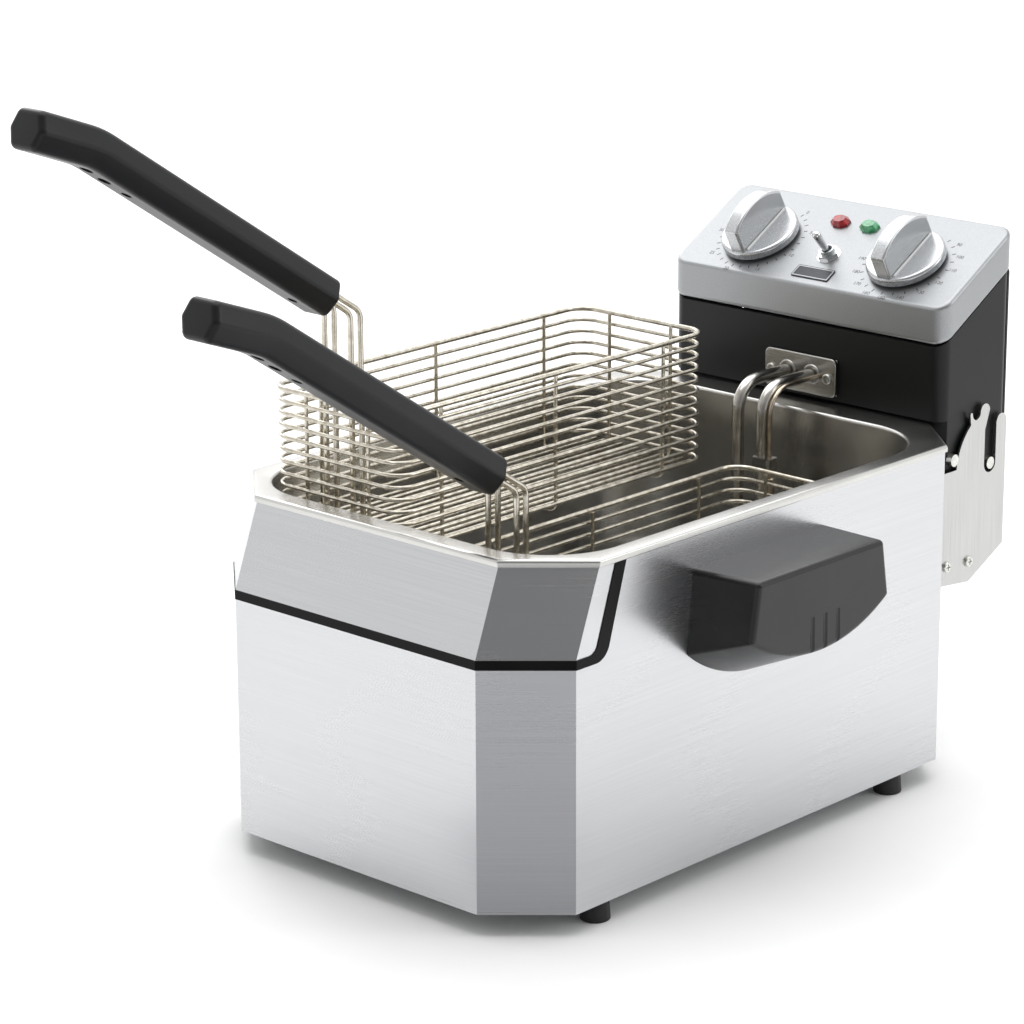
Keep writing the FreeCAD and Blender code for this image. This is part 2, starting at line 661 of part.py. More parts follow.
def make_bezel():
    """Satin cap with the sloping control panel and a lip all round."""
    half = size("head_half") + size("bezel_proud")
    proud = size("bezel_proud")
    front = size("head_front") - proud
    rear = size("head_rear") + proud
    high = size("bezel_high")
    outer = prism_x([(front, head_line(front)), (rear, head_line(rear)),
                     (rear, head_line(rear) + high), (front, head_line(front) + high)], half)
    outer = outer.makeFillet(size("head_corner") + proud, [e for e in outer.Edges if is_vertical(e)])
    top = outer.Faces[0]
    for face in outer.Faces:
        if face.CenterOfMass.z > top.CenterOfMass.z:
            top = face
    outer = outer.makeFillet(3.0, top.Edges)
    wall = 1.8
    hollow = prism_x([(front + wall, head_line(front + wall) - 5), (rear - wall, head_line(rear - wall) - 5),
                      (rear - wall, head_line(rear - wall) + high - 2.4),
                      (front + wall, head_line(front + wall) + high - 2.4)], half - wall)
    hollow = hollow.makeFillet(size("head_corner") + proud - wall, [e for e in hollow.Edges if is_vertical(e)])
    cap = outer.cut(hollow)
    drills = [cylinder(size("shaft_radius") + 0.6, 20, Vector(side * size("knob_across"), size("knob_up"), -10), Z_AXIS)
              for side in (-1, 1)]
    drills.append(cylinder(5, 20, Vector(0, size("toggle_up"), -10), Z_AXIS))
    for side in (-1, 1):
        wide = size("lens_wide") / 2 - 1.6
        deep = size("lens_deep") / 2 - 1.6
        centre = Vector(side * size("lens_across"), size("lens_up"), 0)
        drills.append(block(centre - Vector(wide, deep, 10), centre + Vector(wide, deep, 10)))
    for drill in drills:
        drill.Placement = panel_place * drill.Placement
        cap = cap.cut(drill)
    add_shape("head_bezel", cap)


def make_back_cover():
    """Flat rear cover inside the housing's walls, with the reset and cord openings."""
    half = size("head_half") - size("head_wall") - 0.2
    rear = size("head_rear") - 0.4
    thick = 1.8
    low = size("head_low") + size("head_wall") + 0.2
    high = head_line(rear - thick) - 0.3
    cover = block(Vector(-half, rear - thick, low), Vector(half, rear, high))
    cover = cover.makeFillet(3, [e for e in cover.Edges if e.BoundBox.YLength > 1 and e.BoundBox.XLength < 0.1])
    cover = cover.cut(cylinder(5.2, 10, Vector(-62, rear - 6, 196), Y_AXIS))
    cover = cover.cut(cylinder(7, 10, Vector(72, rear - 6, 186), Y_AXIS))
    for place in back_screw_places():
        cover = cover.cut(cylinder(1.5, 10, Vector(place[0], rear - 6, place[1]), Y_AXIS))
    for row in range(4):
        for side in (-1, 1):
            vent = block(Vector(side * 22 - 14, rear - 6, 250 + 9 * row), Vector(side * 22 + 14, rear + 4, 253.5 + 9 * row))
            cover = cover.cut(vent)
    add_shape("head_back_cover", cover)
    screws = [screw(Vector(place[0], rear, place[1]), Vector(0, -1, 0), 1.5, 8, 3.2, 1.8)
              for place in back_screw_places()]
    add_shape("back_cover_screws", Part.makeCompound(screws))


def back_screw_places():
    return [(side * 98, high) for side in (-1, 1) for high in (172, 290)]


def capillary_across():
    return size("riser_across") + size("tube_radius") + 2.2


def make_element_plate():
    """Pressed plate and gasket where the element leaves the head."""
    front = size("head_front")
    exit_high = size("tube_exit")
    gasket = block(Vector(-28, front - 1, exit_high - 12.5), Vector(28, front, exit_high + 11.5))
    plate = block(Vector(-29, front - 3.5, exit_high - 13.5), Vector(29, front - 1, exit_high + 12.5))
    plate = plate.makeFillet(4, [e for e in plate.Edges if e.BoundBox.YLength > 1 and e.BoundBox.XLength < 0.1])
    front_face = [e for e in plate.Edges if e.BoundBox.YMax < front - 3.4]
    plate = plate.makeFillet(0.9, front_face)
    for side in (-1, 1):
        ring = Part.makeTorus(size("tube_radius") + 1.6, 1.1, Vector(side * size("riser_across"), front - 3.5, exit_high), Y_AXIS)
        plate = plate.fuse(ring.common(block(Vector(-40, front - 8, 200), Vector(40, front - 3, 250))))
    for side in (-1, 1):
        tube = cylinder(size("tube_radius"), 20, Vector(side * size("riser_across"), front - 12, exit_high), Y_AXIS)
        pilot = cylinder(1.6, 20, Vector(side * 23, front - 12, exit_high - 1), Y_AXIS)
        plate = plate.cut(tube).cut(pilot)
        gasket = gasket.cut(tube).cut(pilot)
    capillary = cylinder(1.4, 20, Vector(capillary_across(), front - 12, exit_high), Y_AXIS)
    plate = plate.cut(capillary)
    gasket = gasket.cut(capillary)
    add_shape("element_plate", plate)
    add_shape("element_gasket", gasket)
    screws = [screw(Vector(side * 23, front - 3.5, exit_high - 1), Y_AXIS, 1.6, 9, 3.4, 2.0) for side in (-1, 1)]
    add_shape("element_plate_screws", Part.makeCompound(screws))


def element_route():
    """Centreline of the tube: out of the head, down, round six runs and back."""
    across = size("riser_across")
    back = size("riser_back")
    high = size("element_high")
    exit_high = size("tube_exit")
    head = size("head_front") + 26
    runs = (100, 60, 20)
    left = [Vector(-across, head, exit_high), Vector(-across, back, exit_high), Vector(-across, back, high + 38),
            Vector(-across - 24, back - 5, high), Vector(-runs[0], back - 5, high),
            Vector(-runs[0], 76, high), Vector(-runs[1], 76, high),
            Vector(-runs[1], 318, high), Vector(-runs[2], 318, high), Vector(-runs[2], 76, high)]
    right = [Vector(-point.x, point.y, point.z) for point in reversed(left)]
    return left + right


def make_element():
    """Tubular heating element: two leads, the flat runs, and the terminal ends inside the head."""
    head = size("head_front") + 26
    edges = rounded_edges(element_route(), size("element_bend"))
    lead = 6
    lengths = [[edge] for edge in edges[:lead]] + [edges[lead:-lead]] + [[edge] for edge in edges[-lead:]]
    pins = [swept(length, size("tube_radius")) for length in lengths]
    for side in (-1, 1):
        start = Vector(side * size("riser_across"), head, size("tube_exit"))
        pins.append(cylinder(1.6, 10, start, Y_AXIS).fuse(cylinder(2.6, 2, start + Y_AXIS * 2, Y_AXIS)))
    add_shape("heating_element", Part.makeCompound(pins))


def make_element_stand():
    """Two flat strips under the runs, with legs down to the tank floor."""
    under = size("element_high") - size("tube_radius")
    floor = size("tank_floor")
    strips = []
    for back in (130, 250):
        strip = block(Vector(-108, back, under - 1.5), Vector(108, back + 10, under))
        for side in (-1, 1):
            low = Vector(side * 80 - 0.75, back, floor)
            strip = strip.fuse(block(low, Vector(side * 80 + 0.75, back + 10, under - 1.5)))
        strips.append(strip.removeSplitter())
    add_shape("element_stand", Part.makeCompound(strips))


def make_sensor():
    """Thermostat bulb beside the right riser, its capillary and the clip that holds both."""
    across = capillary_across()
    back = size("riser_back")
    exit_high = size("tube_exit")
    head = size("head_front") + 30
    capillary = rod([Vector(across, head, exit_high), Vector(across, back, exit_high), Vector(across, back, 168)], 1.4, 18)
    bulb = cylinder(2.6, 34, Vector(across + 1.2, back, 134), Z_AXIS)
    bulb = bulb.makeFillet(1.2, [e for e in bulb.Edges if e.BoundBox.ZLength < 0.01])
    add_shape("sensor_bulb", Part.makeCompound([capillary, bulb]))
    riser = size("riser_across")
    clip = block(Vector(riser - 5, back - 5, 173), Vector(across + 3.4, back + 5, 181))
    clip = clip.makeFillet(2.2, [e for e in clip.Edges if is_vertical(e)])
    clip = clip.cut(cylinder(size("tube_radius"), 40, Vector(riser, back, 160), Z_AXIS))
    clip = clip.cut(cylinder(1.4, 40, Vector(across, back, 160), Z_AXIS))
    add_shape("sensor_clip", clip)


def make_head_internals():
    """Thermostat, timer, switch, lamps, terminal block, safety cut-out and interlock."""
    up = size("knob_up")
    across = size("knob_across")
    under = -4.0
    bore = size("shaft_radius") + 0.05
    timer = cylinder(21, 26, Vector(-across, up, under - 26), Z_AXIS)
    timer = timer.fuse(block(Vector(-across - 16, up - 16, under - 34), Vector(-across + 16, up + 16, under - 26)))
    timer = timer.fuse(cylinder(6, 1.5, Vector(-across, up, under), Z_AXIS))
    timer = timer.cut(cylinder(bore, 30, Vector(-across, up, under - 16), Z_AXIS))
    add_shape("timer_mechanism", timer.removeSplitter(), True)
    thermostat = block(Vector(across - 18, up - 16, under - 26), Vector(across + 18, up + 16, under))
    thermostat = thermostat.makeFillet(2, [e for e in thermostat.Edges if e.BoundBox.ZLength > 10])
    thermostat = thermostat.fuse(cylinder(6, 1.5, Vector(across, up, under), Z_AXIS))
    thermostat = thermostat.cut(cylinder(bore, 30, Vector(across, up, under - 16), Z_AXIS))
    add_shape("thermostat", thermostat.removeSplitter(), True)
    toggle = size("toggle_up")
    switch = block(Vector(-6.5, toggle - 14, under - 22), Vector(6.5, toggle + 14, under))
    for step in (-8, 0, 8):
        switch = switch.fuse(block(Vector(-3, toggle + step - 0.4, under - 30), Vector(3, toggle + step + 0.4, under - 22)))
    switch = switch.fuse(cylinder(4.8, 9.5, Vector(0, toggle, under), Z_AXIS))
    switch = switch.cut(cylinder(3.5, 9.5, Vector(0, toggle, under + 0.6), Z_AXIS))
    switch = switch.cut(cylinder(0.95, 20, Vector(-10, toggle, size("toggle_pivot")), X_AXIS))
    add_shape("switch_body", switch.removeSplitter(), True)
    nut_outline = [Vector(7.4 * math.cos(math.radians(60 * k)), toggle + 7.4 * math.sin(math.radians(60 * k)), 0.4)
                   for k in range(6)]
    nut = prism_z(nut_outline, 2.6).cut(cylinder(4.9, 9, Vector(0, toggle, -2), Z_AXIS))
    washer = cylinder(8.2, 0.4, Vector(0, toggle, 0), Z_AXIS).cut(cylinder(4.9, 9, Vector(0, toggle, -2), Z_AXIS))
    add_shape("switch_nut", Part.makeCompound([nut, washer]), True)
    lamps = []
    for side in (-1, 1):
        base = Vector(side * size("lens_across"), size("lens_up"), -22)
        lamps.append(block(base - Vector(5, 3.6, 0), base + Vector(5, 3.6, 18)))
    add_shape("indicator_lamps", Part.makeCompound(lamps), True)
    terminal = block(Vector(-30, 452, 180), Vector(30, 470, 194))
    for step in range(5):
        for depth in (455, 467):
            terminal = terminal.cut(cylinder(2.6, 6, Vector(-24 + 12 * step, depth, 190), Z_AXIS))
    add_shape("terminal_block", terminal)
    limit = cylinder(9, 9, Vector(-62, 467.5, 196), Y_AXIS)
    limit = limit.fuse(block(Vector(-76, 476.5, 190), Vector(-48, 477.7, 202)))
    limit = limit.fuse(cylinder(5.5, 2, Vector(-62, 477.7, 196), Y_AXIS))
    limit = limit.cut(cylinder(3.05, 12, Vector(-62, 470.5, 196), Y_AXIS))
    add_shape("limit_thermostat", limit.removeSplitter())
    interlock = block(Vector(74, 428, 164), Vector(94, 438, 176))
    interlock = interlock.fuse(cylinder(1.5, 5, Vector(80, 433, 159.2), Z_AXIS))
    add_shape("interlock_switch", interlock.cut(block(Vector(60, 420, 150), Vector(100, 450, 162.5))))


def make_lens(label, side):
    """Faceted translucent pilot lens that snaps into the panel."""
    centre = Vector(side * size("lens_across"), size("lens_up"), 0)
    wide = size("lens_wide") / 2
    deep = size("lens_deep") / 2

    def oval(scale, high):
        points = [centre + Vector(wide * scale * math.cos(math.radians(22.5 + 45 * k)) * 1.04,
                                  deep * scale * math.sin(math.radians(22.5 + 45 * k)) * 1.04, high) for k in range(8)]
        return Part.makePolygon(points + points[:1])

    cap = Part.makeLoft([oval(1.0, 0.05), oval(1.0, 1.4), oval(0.62, 4.2)], True, True)
    stem = block(centre - Vector(wide - 1.8, deep - 1.8, 3.6), centre + Vector(wide - 1.8, deep - 1.8, 0.05))
    add_shape(label, cap.fuse(stem).removeSplitter(), True)


def make_name_plate():
    """Blank label plate below the switch."""
    body = new_body("name_plate", True)
    outline = add_sketch(body, "XY_Plane", "0.05")
    draw_rounded(outline, "-15", "15", "4.5", "15.5", "1.2")
    add_feature(body, "Pad", outline, "0.6")


def make_head_pins():
    """Shoulder pins on the head: the rear ones pivot, the front ones ride the cheeks' arcs."""
    half = size("head_half")
    inner = size("cheek_inner")
    pins = []
    for side in (-1, 1):
        for back, high in ((size("pivot_back"), size("pivot_high")), (size("latch_back"), size("latch_high"))):
            face = Vector(side * half, back, high)
            outward = Vector(side, 0, 0)
            pin = cylinder(size("pin_radius"), inner + size("cheek_thick") - half + 0.6, face, outward)
            pin = pin.fuse(cylinder(2.2, 3.5, face - outward * 3.5, outward))
            pins.append(pin)
    add_shape("head_pins", Part.makeCompound(pins))


def make_gland():
    """Open cord inlet gland in the rear cover."""
    rear = size("head_rear") - 0.4
    centre = Vector(72, rear, 186)
    gland = cylinder(10, 3, centre, Y_AXIS)
    gland = gland.fuse(cylinder(6.9, 14, centre - Y_AXIS * 8, Y_AXIS))
    gland = gland.fuse(Part.makeCone(7.6, 5.6, 8, centre + Y_AXIS * 3, Y_AXIS))
    gland = gland.cut(cylinder(3.8, 40, centre - Y_AXIS * 12, Y_AXIS))
    add_shape("cord_gland", gland.removeSplitter())


# ---------------------------------------------------------------- moving controls

def make_knob(label, side):
    """Turned skirt with a tall arched finger grip, pressed on its shaft."""
    centre = Vector(side * size("knob_across"), size("knob_up"), 0)
    radius = size("knob_radius")
    gap = size("knob_gap")
    skirt_top = gap + size("knob_skirt")
    high = size("knob_high")
    skirt = cylinder(radius, size("knob_skirt"), centre + Z_AXIS * gap, Z_AXIS)
    skirt = skirt.makeFillet(2.4, [e for e in skirt.Edges if e.BoundBox.ZMin > skirt_top - 0.1])
    front = -radius + 1.2
    rear = radius - 1.2
    arch = [Part.makeLine(Vector(-5.5, front, skirt_top - 2), Vector(-5.5, front, high - 5)),
            Part.Arc(Vector(-5.5, front, high - 5), Vector(-5.5, 2, high + 2), Vector(-5.5, rear, high - 9)).toShape(),
            Part.makeLine(Vector(-5.5, rear, high - 9), Vector(-5.5, rear, skirt_top - 2)),
            Part.makeLine(Vector(-5.5, rear, skirt_top - 2), Vector(-5.5, front, skirt_top - 2))]
    blade = Part.Face(Part.Wire(arch)).extrude(Vector(11, 0, 0))
    blade = blade.makeFillet(1.6, [e for e in blade.Edges if e.BoundBox.ZMax > skirt_top])
    blade.translate(centre)
    round_stock = cylinder(radius, high + 10, centre, Z_AXIS)
    knob = skirt.fuse(blade.common(round_stock)).removeSplitter()
    knob = knob.cut(cylinder(size("shaft_radius"), 16, centre - Z_AXIS, Z_AXIS))
    add_shape(label, knob, True)


def make_shaft(label, side):
    start = Vector(side * size("knob_across"), size("knob_up"), -18)
    add_shaft(label, "Size.shaft_radius", "Size.shaft_long", start)


def make_toggle():
    """Chromed bat lever, leaning to the front in its rest position."""
    pivot = Vector(0, size("toggle_up"), size("toggle_pivot"))
    long = size("toggle_long")
    ball = Part.makeSphere(2.9, pivot)
    bat = Part.makeCone(1.9, 2.8, long - 2.8, pivot, Z_AXIS)
    tip = Part.makeSphere(2.8, pivot + Z_AXIS * (long - 2.8))
    pin = cylinder(0.9, 8.6, pivot - X_AXIS * 4.3, X_AXIS)
    lever = ball.fuse(bat).fuse(tip).fuse(pin).removeSplitter()
    lever.rotate(pivot, X_AXIS, size("toggle_lean"))
    add_shape("toggle_lever", lever, True)


def make_reset_button():
    """Small button of the over-temperature cut-out, reached through the rear cover."""
    rear = size("head_rear")
    start = Vector(-62, 472.5, 196)
    stem = cylinder(3, rear + 1.0 - start.y, start, Y_AXIS)
    cap = cylinder(4.6, 3.6, Vector(-62, rear - 2.0, 196), Y_AXIS)
    cap = cap.makeFillet(0.8, [e for e in cap.Edges if e.BoundBox.YMin > rear + 1])
    add_shape("reset_button", stem.fuse(cap).removeSplitter())


# ---------------------------------------------------------------- baskets

def side_wall(side, rim, face):
    """One long wall: rim wire, ring wires and the uprights inside them."""
    centre = side * size("basket_centre")
    reach = size("basket_wide") / 2
    corner = size("basket_corner")
    front = size("basket_front") + corner
    rear = size("basket_rear") - corner
    mesh = size("mesh_wire")
    across = centre + face * reach
    wires = []
    for index in range(int(size("basket_rings")) + 1):
        radius = size("rim_wire") if index == 0 else mesh
        high = rim - index * size("basket_pitch")
        wires.append(straight(Vector(across, front, high), Vector(across, rear, high), radius))
    upright = across - face * (size("rim_wire") + mesh)
    for back in upright_places():
        wires.append(straight(Vector(upright, back, rim), Vector(upright, back, rim - size("basket_deep") + mesh), mesh))
    return wires


def upright_places():
    front = size("basket_front") + size("basket_corner")
    rear = size("basket_rear") - size("basket_corner")
    return [front + (rear - front) * share for share in (0.1, 0.5, 0.9)]


def end_wall(side, rim, facing):
    """Front or rear wall, with the rounded corners of every ring."""
    centre = side * size("basket_centre")
    reach = size("basket_wide") / 2
    corner = size("basket_corner")
    edge = size("basket_front") if facing < 0 else size("basket_rear")
    inner = edge - facing * corner
    mesh = size("mesh_wire")
    wires = []
    for index in range(int(size("basket_rings")) + 1):
        radius = size("rim_wire") if index == 0 else mesh
        high = rim - index * size("basket_pitch")
        left = centre - reach
        right = centre + reach
        route = [Vector(left, inner, high), Vector(left, edge, high), Vector(right, edge, high), Vector(right, inner, high)]
        wires.extend(corner_ring(route, radius, corner))
    upright = edge - facing * (size("rim_wire") + mesh)
    for across in (centre - 26, centre + 26):
        wires.append(straight(Vector(across, upright, rim), Vector(across, upright, rim - size("basket_deep") + mesh), mesh))
    return wires


def corner_ring(route, radius, corner):
    """Quarter bend, straight and quarter bend of one ring, as three lengths of wire."""
    a, b, c, d = route
    first = b + (a - b).normalize() * corner
    second = b + (c - b).normalize() * corner
    third = c + (b - c).normalize() * corner
    last = c + (d - c).normalize() * corner
    hub = first + second - b
    far_hub = third + last - c
    mid = hub + (b - hub).normalize() * corner
    far_mid = far_hub + (c - far_hub).normalize() * corner
    return [swept([Part.Arc(first, mid, second).toShape()], radius), straight(second, third, radius),
            swept([Part.Arc(third, far_mid, last).toShape()], radius)]


def floor_wires(side, rim):
    centre = side * size("basket_centre")
    mesh = size("mesh_wire")
    low = rim - size("basket_deep")
    reach = size("basket_wide") / 2 - size("rim_wire")
    front = size("basket_front") + size("rim_wire")
    rear = size("basket_rear") - size("rim_wire")
    wires = []
    for back in upright_places():
        wires.append(straight(Vector(centre - reach, back, low), Vector(centre + reach, back, low), mesh))
    for across in (-26, 26):
        wires.append(straight(Vector(centre + across, front, low), Vector(centre + across, rear, low), mesh))
    for step in range(-6, 7):
        if abs(step * 7.4) not in (26,):
            across = centre + step * 7.4
            wires.append(straight(Vector(across, front + 4, low + 2 * mesh), Vector(across, rear - 4, low + 2 * mesh), mesh))
    return wires


def handle_wires(side, rim):
    """Two hairpins of wire that stand inside the front wall and run up into the grip."""
    centre = side * size("basket_centre")
    front = size("handle_front")
    rear = size("handle_rear")
    bend_high = rim + size("handle_bend")
    low = rim - size("basket_deep") + 8
    angle = math.radians(size("grip_angle"))
    run = Vector(0, -math.cos(angle), math.sin(angle)) * 62
    wires = []
    for across in (-size("handle_across"), size("handle_across")):
        x = centre + across
        near_top = Vector(x, front, bend_high)
        far_top = Vector(x, rear, bend_high)
        route = [near_top + run, near_top, Vector(x, front, low), Vector(x, rear, low), far_top, far_top + run]
        wires.append(hairpin(route))
    return wires


def hairpin(route):
    """Wire with wide bends below the grip and a tight return at the bottom."""
    wide = 9
    tight = 3.9
    start, top, low, low_back, top_back, end = route
    edges = []
    last = start
    for corner, before, after, bend in ((top, start, low, wide), (low, top, low_back, tight),
                                        (low_back, low, top_back, tight), (top_back, low_back, end, wide)):
        back = (before - corner).normalize()
        ahead = (after - corner).normalize()
        half_angle = back.getAngle(ahead) / 2
        reach = bend / math.tan(half_angle)
        begin = corner + back * reach
        finish = corner + ahead * reach
        middle = corner + (back + ahead).normalize() * (bend / math.sin(half_angle) - bend)
        if (begin - last).Length > 1e-6:
            edges.append(Part.makeLine(last, begin))
        edges.append(Part.Arc(begin, middle, finish).toShape())
        last = finish
    edges.append(Part.makeLine(last, end))
    return swept(edges, size("handle_wire"))


def on_plane(edge, point, normal):
    return all(abs((vertex.Point - point).dot(normal)) < 1e-4 for vertex in edge.Vertexes)


def grip_halves(side, rim, wires):
    """Moulded grip in two halves, parted along the wires' plane, with hang slot and screw wells."""
    centre = side * size("basket_centre")
    angle = math.radians(size("grip_angle"))
    tail = math.radians(size("grip_tail_angle"))
    middle_back = (size("handle_front") + size("handle_rear")) / 2
    away = middle_back - size("grip_start")
    start = Vector(centre, size("grip_start"), rim + size("handle_bend") + away * math.tan(angle))
    bend = start + Vector(0, -math.cos(angle), math.sin(angle)) * size("grip_straight")
    end = bend + Vector(0, -math.cos(tail), math.sin(tail)) * size("grip_tail")
    path = rounded_path([start, bend, end], 70)
    wide = size("grip_wide") / 2 + 0.5
    thick = size("grip_thick") / 2
    flat = size("grip_flat") / 2
    heading = bend - start
    corners = [Vector(-flat, -thick, 0), Vector(flat, -thick, 0), Vector(wide, 0, 0),
               Vector(flat, thick, 0), Vector(-flat, thick, 0), Vector(-wide, 0, 0)]
    stub = prism_z(corners, 1)
    stub = stub.makeFillet(4.5, [e for e in stub.Edges if e.BoundBox.ZLength > 0.5])
    section = [f for f in stub.Faces if abs(f.CenterOfMass.z) < 1e-6][0].OuterWire
    upward = Vector(0, math.sin(angle), math.cos(angle))
    frame = FreeCAD.Matrix()
    frame.A11, frame.A21, frame.A31 = 1, 0, 0
    frame.A12, frame.A22, frame.A32 = upward.x, upward.y, upward.z
    ahead = Vector(heading).normalize()
    frame.A13, frame.A23, frame.A33 = ahead.x, ahead.y, ahead.z
    section = section.transformGeometry(frame)
    section.translate(start)
    bar = path.makePipeShell([section], True, False)
    ends = [face for face in bar.Faces if isinstance(face.Surface, Part.Plane) and len(face.Edges) == 12]
    ends.sort(key=lambda face: face.CenterOfMass.y)
    bar = bar.makeFillet(4.0, ends[0].Edges)
    bar = bar.makeFillet(2.4, [edge for edge in bar.Edges if on_plane(edge, start, ahead)])
    slot_place = bend + Vector(0, 6, -4)
    slot = cylinder(4, 40, slot_place - Vector(0, 0, 30), Vector(0, math.sin(tail), math.cos(tail)))
    slot = slot.fuse(slot.translated(Vector(0, -13, 6.5)))
    slot = slot.common(block(bend - Vector(30, 60, 60), bend + Vector(30, 60, 0)))
    wells = []
    for distance in (22, 170):
        place = start + ahead * distance
        wells.append(cylinder(3.2, 6, place - upward * (thick + 1), upward))
    for cutter in [slot] + wells + wires:
        bar = bar.cut(cutter)
    lift = upward * 60
    sheet_points = [start - ahead * 20, bend, end + (end - bend), end + (end - bend) + lift, bend + lift, start - ahead * 20 + lift]
    upper_region = Part.Face(Part.makePolygon(sheet_points + sheet_points[:1])).extrude(Vector(2 * wide + 10, 0, 0))
    upper_region.translate(Vector(-wide - 5, 0, 0))
    return bar.common(upper_region), bar.cut(upper_region)


def make_basket(name, side, rim):
    for wall, face in (("inner", -side), ("outer", side)):
        add_shape("%s_%s_wall" % (name, wall), Part.makeCompound(side_wall(side, rim, face)))
    add_shape("%s_front_wall" % name, Part.makeCompound(end_wall(side, rim, -1)))
    add_shape("%s_rear_wall" % name, Part.makeCompound(end_wall(side, rim, 1)))
    add_shape("%s_floor" % name, Part.makeCompound(floor_wires(side, rim)))
    wires = handle_wires(side, rim)
    add_shape("%s_handle_wires" % name, Part.makeCompound(wires))
    upper, lower = grip_halves(side, rim, wires)
    add_shape("%s_grip_upper" % name, upper)
    add_shape("%s_grip_lower" % name, lower)


# ---------------------------------------------------------------- build and write

def build():
    make_shell()
    make_fascia()
    make_trim()
    make_base()
    make_feet()
    make_tank()
    make_side_handle("side_handle_left", -1)
    make_side_handle("side_handle_right", 1)
    make_side_handle_screws()
    make_bracket("hinge_bracket_left", -1)
    make_bracket("hinge_bracket_right", 1)
    make_bracket_tie()
    make_bracket_screws()
    make_housing()
    make_bezel()
    make_back_cover()
    make_element_plate()
    make_element()
    make_element_stand()
    make_sensor()
    make_head_internals()
    make_lens("red_lens", -1)
    make_lens("green_lens", 1)
    make_name_plate()
    make_head_pins()
    make_gland()
    make_knob("timer_knob", -1)
    make_knob("temperature_knob", 1)
    make_shaft("timer_shaft", -1)
    make_shaft("thermostat_shaft", 1)
    make_toggle()
    make_reset_button()
    make_basket("left_basket", -1, size("raised_rim"))
    make_basket("right_basket", 1, size("lowered_rim"))


def check_and_write():
    doc.recompute()
    for item in doc.Objects:
        if "Invalid" in item.State or "Error" in item.State:
            raise ValueError("%s failed: %s" % (item.Label, item.State))
    for item in sub_parts:
        if item.Shape.isNull() or not item.Shape.isValid():
            raise ValueError(item.Label + " has no valid shape")
    os.makedirs("parts", exist_ok=True)
    overall = FreeCAD.BoundBox()
    for item in sub_parts:
        item.Shape.exportStep("parts/%s.step" % item.Label)
        overall.add(item.Shape.BoundBox)
        print("%-24s solids %3d  volume %10.1f" % (item.Label, len(item.Shape.Solids), item.Shape.Volume))
    print("nodes", len(sub_parts), "overall", overall)


build()
check_and_write()
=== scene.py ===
import json
import math

import bmesh
import bpy
from mathutils import Matrix, Vector


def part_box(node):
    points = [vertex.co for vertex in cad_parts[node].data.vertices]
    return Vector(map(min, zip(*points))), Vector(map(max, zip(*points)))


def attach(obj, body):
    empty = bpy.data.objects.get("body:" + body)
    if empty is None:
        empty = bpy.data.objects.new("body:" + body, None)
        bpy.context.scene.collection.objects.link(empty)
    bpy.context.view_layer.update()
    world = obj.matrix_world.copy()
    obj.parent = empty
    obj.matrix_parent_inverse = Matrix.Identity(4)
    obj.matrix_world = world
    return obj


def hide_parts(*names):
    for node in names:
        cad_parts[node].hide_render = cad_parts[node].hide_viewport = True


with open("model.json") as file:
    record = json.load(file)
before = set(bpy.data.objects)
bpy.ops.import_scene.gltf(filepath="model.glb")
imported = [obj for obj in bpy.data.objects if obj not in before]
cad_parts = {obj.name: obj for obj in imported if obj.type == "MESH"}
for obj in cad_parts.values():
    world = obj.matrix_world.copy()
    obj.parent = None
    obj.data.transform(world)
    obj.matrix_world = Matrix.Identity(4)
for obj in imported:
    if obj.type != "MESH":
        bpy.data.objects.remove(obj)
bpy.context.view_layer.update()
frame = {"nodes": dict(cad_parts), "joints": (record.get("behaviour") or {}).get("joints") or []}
nodes = frame["nodes"]
joints = {joint["name"]: joint for joint in frame["joints"]}
mm = 0.001


def linearColour(hexText, alpha=1.0):
    channels = [int(hexText[i:i + 2], 16) / 255 for i in (1, 3, 5)]
    return tuple(c / 12.92 if c <= 0.04045 else ((c + 0.055) / 1.055) ** 2.4 for c in channels) + (alpha,)


def addObject(name, data):
    added = bpy.data.objects.new(name, data)
    bpy.context.scene.collection.objects.link(added)
    return added


def addNode(owner, kind, settings=None, links=None, values=None, ramp=None):
    node = owner.node_tree.nodes.new(kind)
    for name, setting in (settings or {}).items():
        setattr(node, name, setting)
    for name, constant in (values or {}).items():
        node.inputs[name].default_value = constant
    for name, source in (links or {}).items():
        owner.node_tree.links.new(source, node.inputs[name])
    for index, (position, hexText) in enumerate(ramp or ()):
        node.color_ramp.elements[index].position = position
        node.color_ramp.elements[index].color = linearColour(hexText)
    return node


def newMaterial(name, shaderValues):
    material = bpy.data.materials.new(name)
    material.use_nodes = True
    shader = material.node_tree.nodes["Principled BSDF"]
    for socket, constant in shaderValues.items():
        shader.inputs[socket].default_value = constant
    return material


def feed(material, socket, source):
    shader = material.node_tree.nodes["Principled BSDF"]
    material.node_tree.links.new(source, shader.inputs[socket])


# Materials. Every cell size is one grain along X, Y and Z in mm.
# A tint runs from dark to light between these two shares of its pattern.
tintFrom, tintTo = 0.3, 0.7
metalHaze = {"cellMm": (180, 180, 120), "smoother": 0.03, "rougher": 0.04}


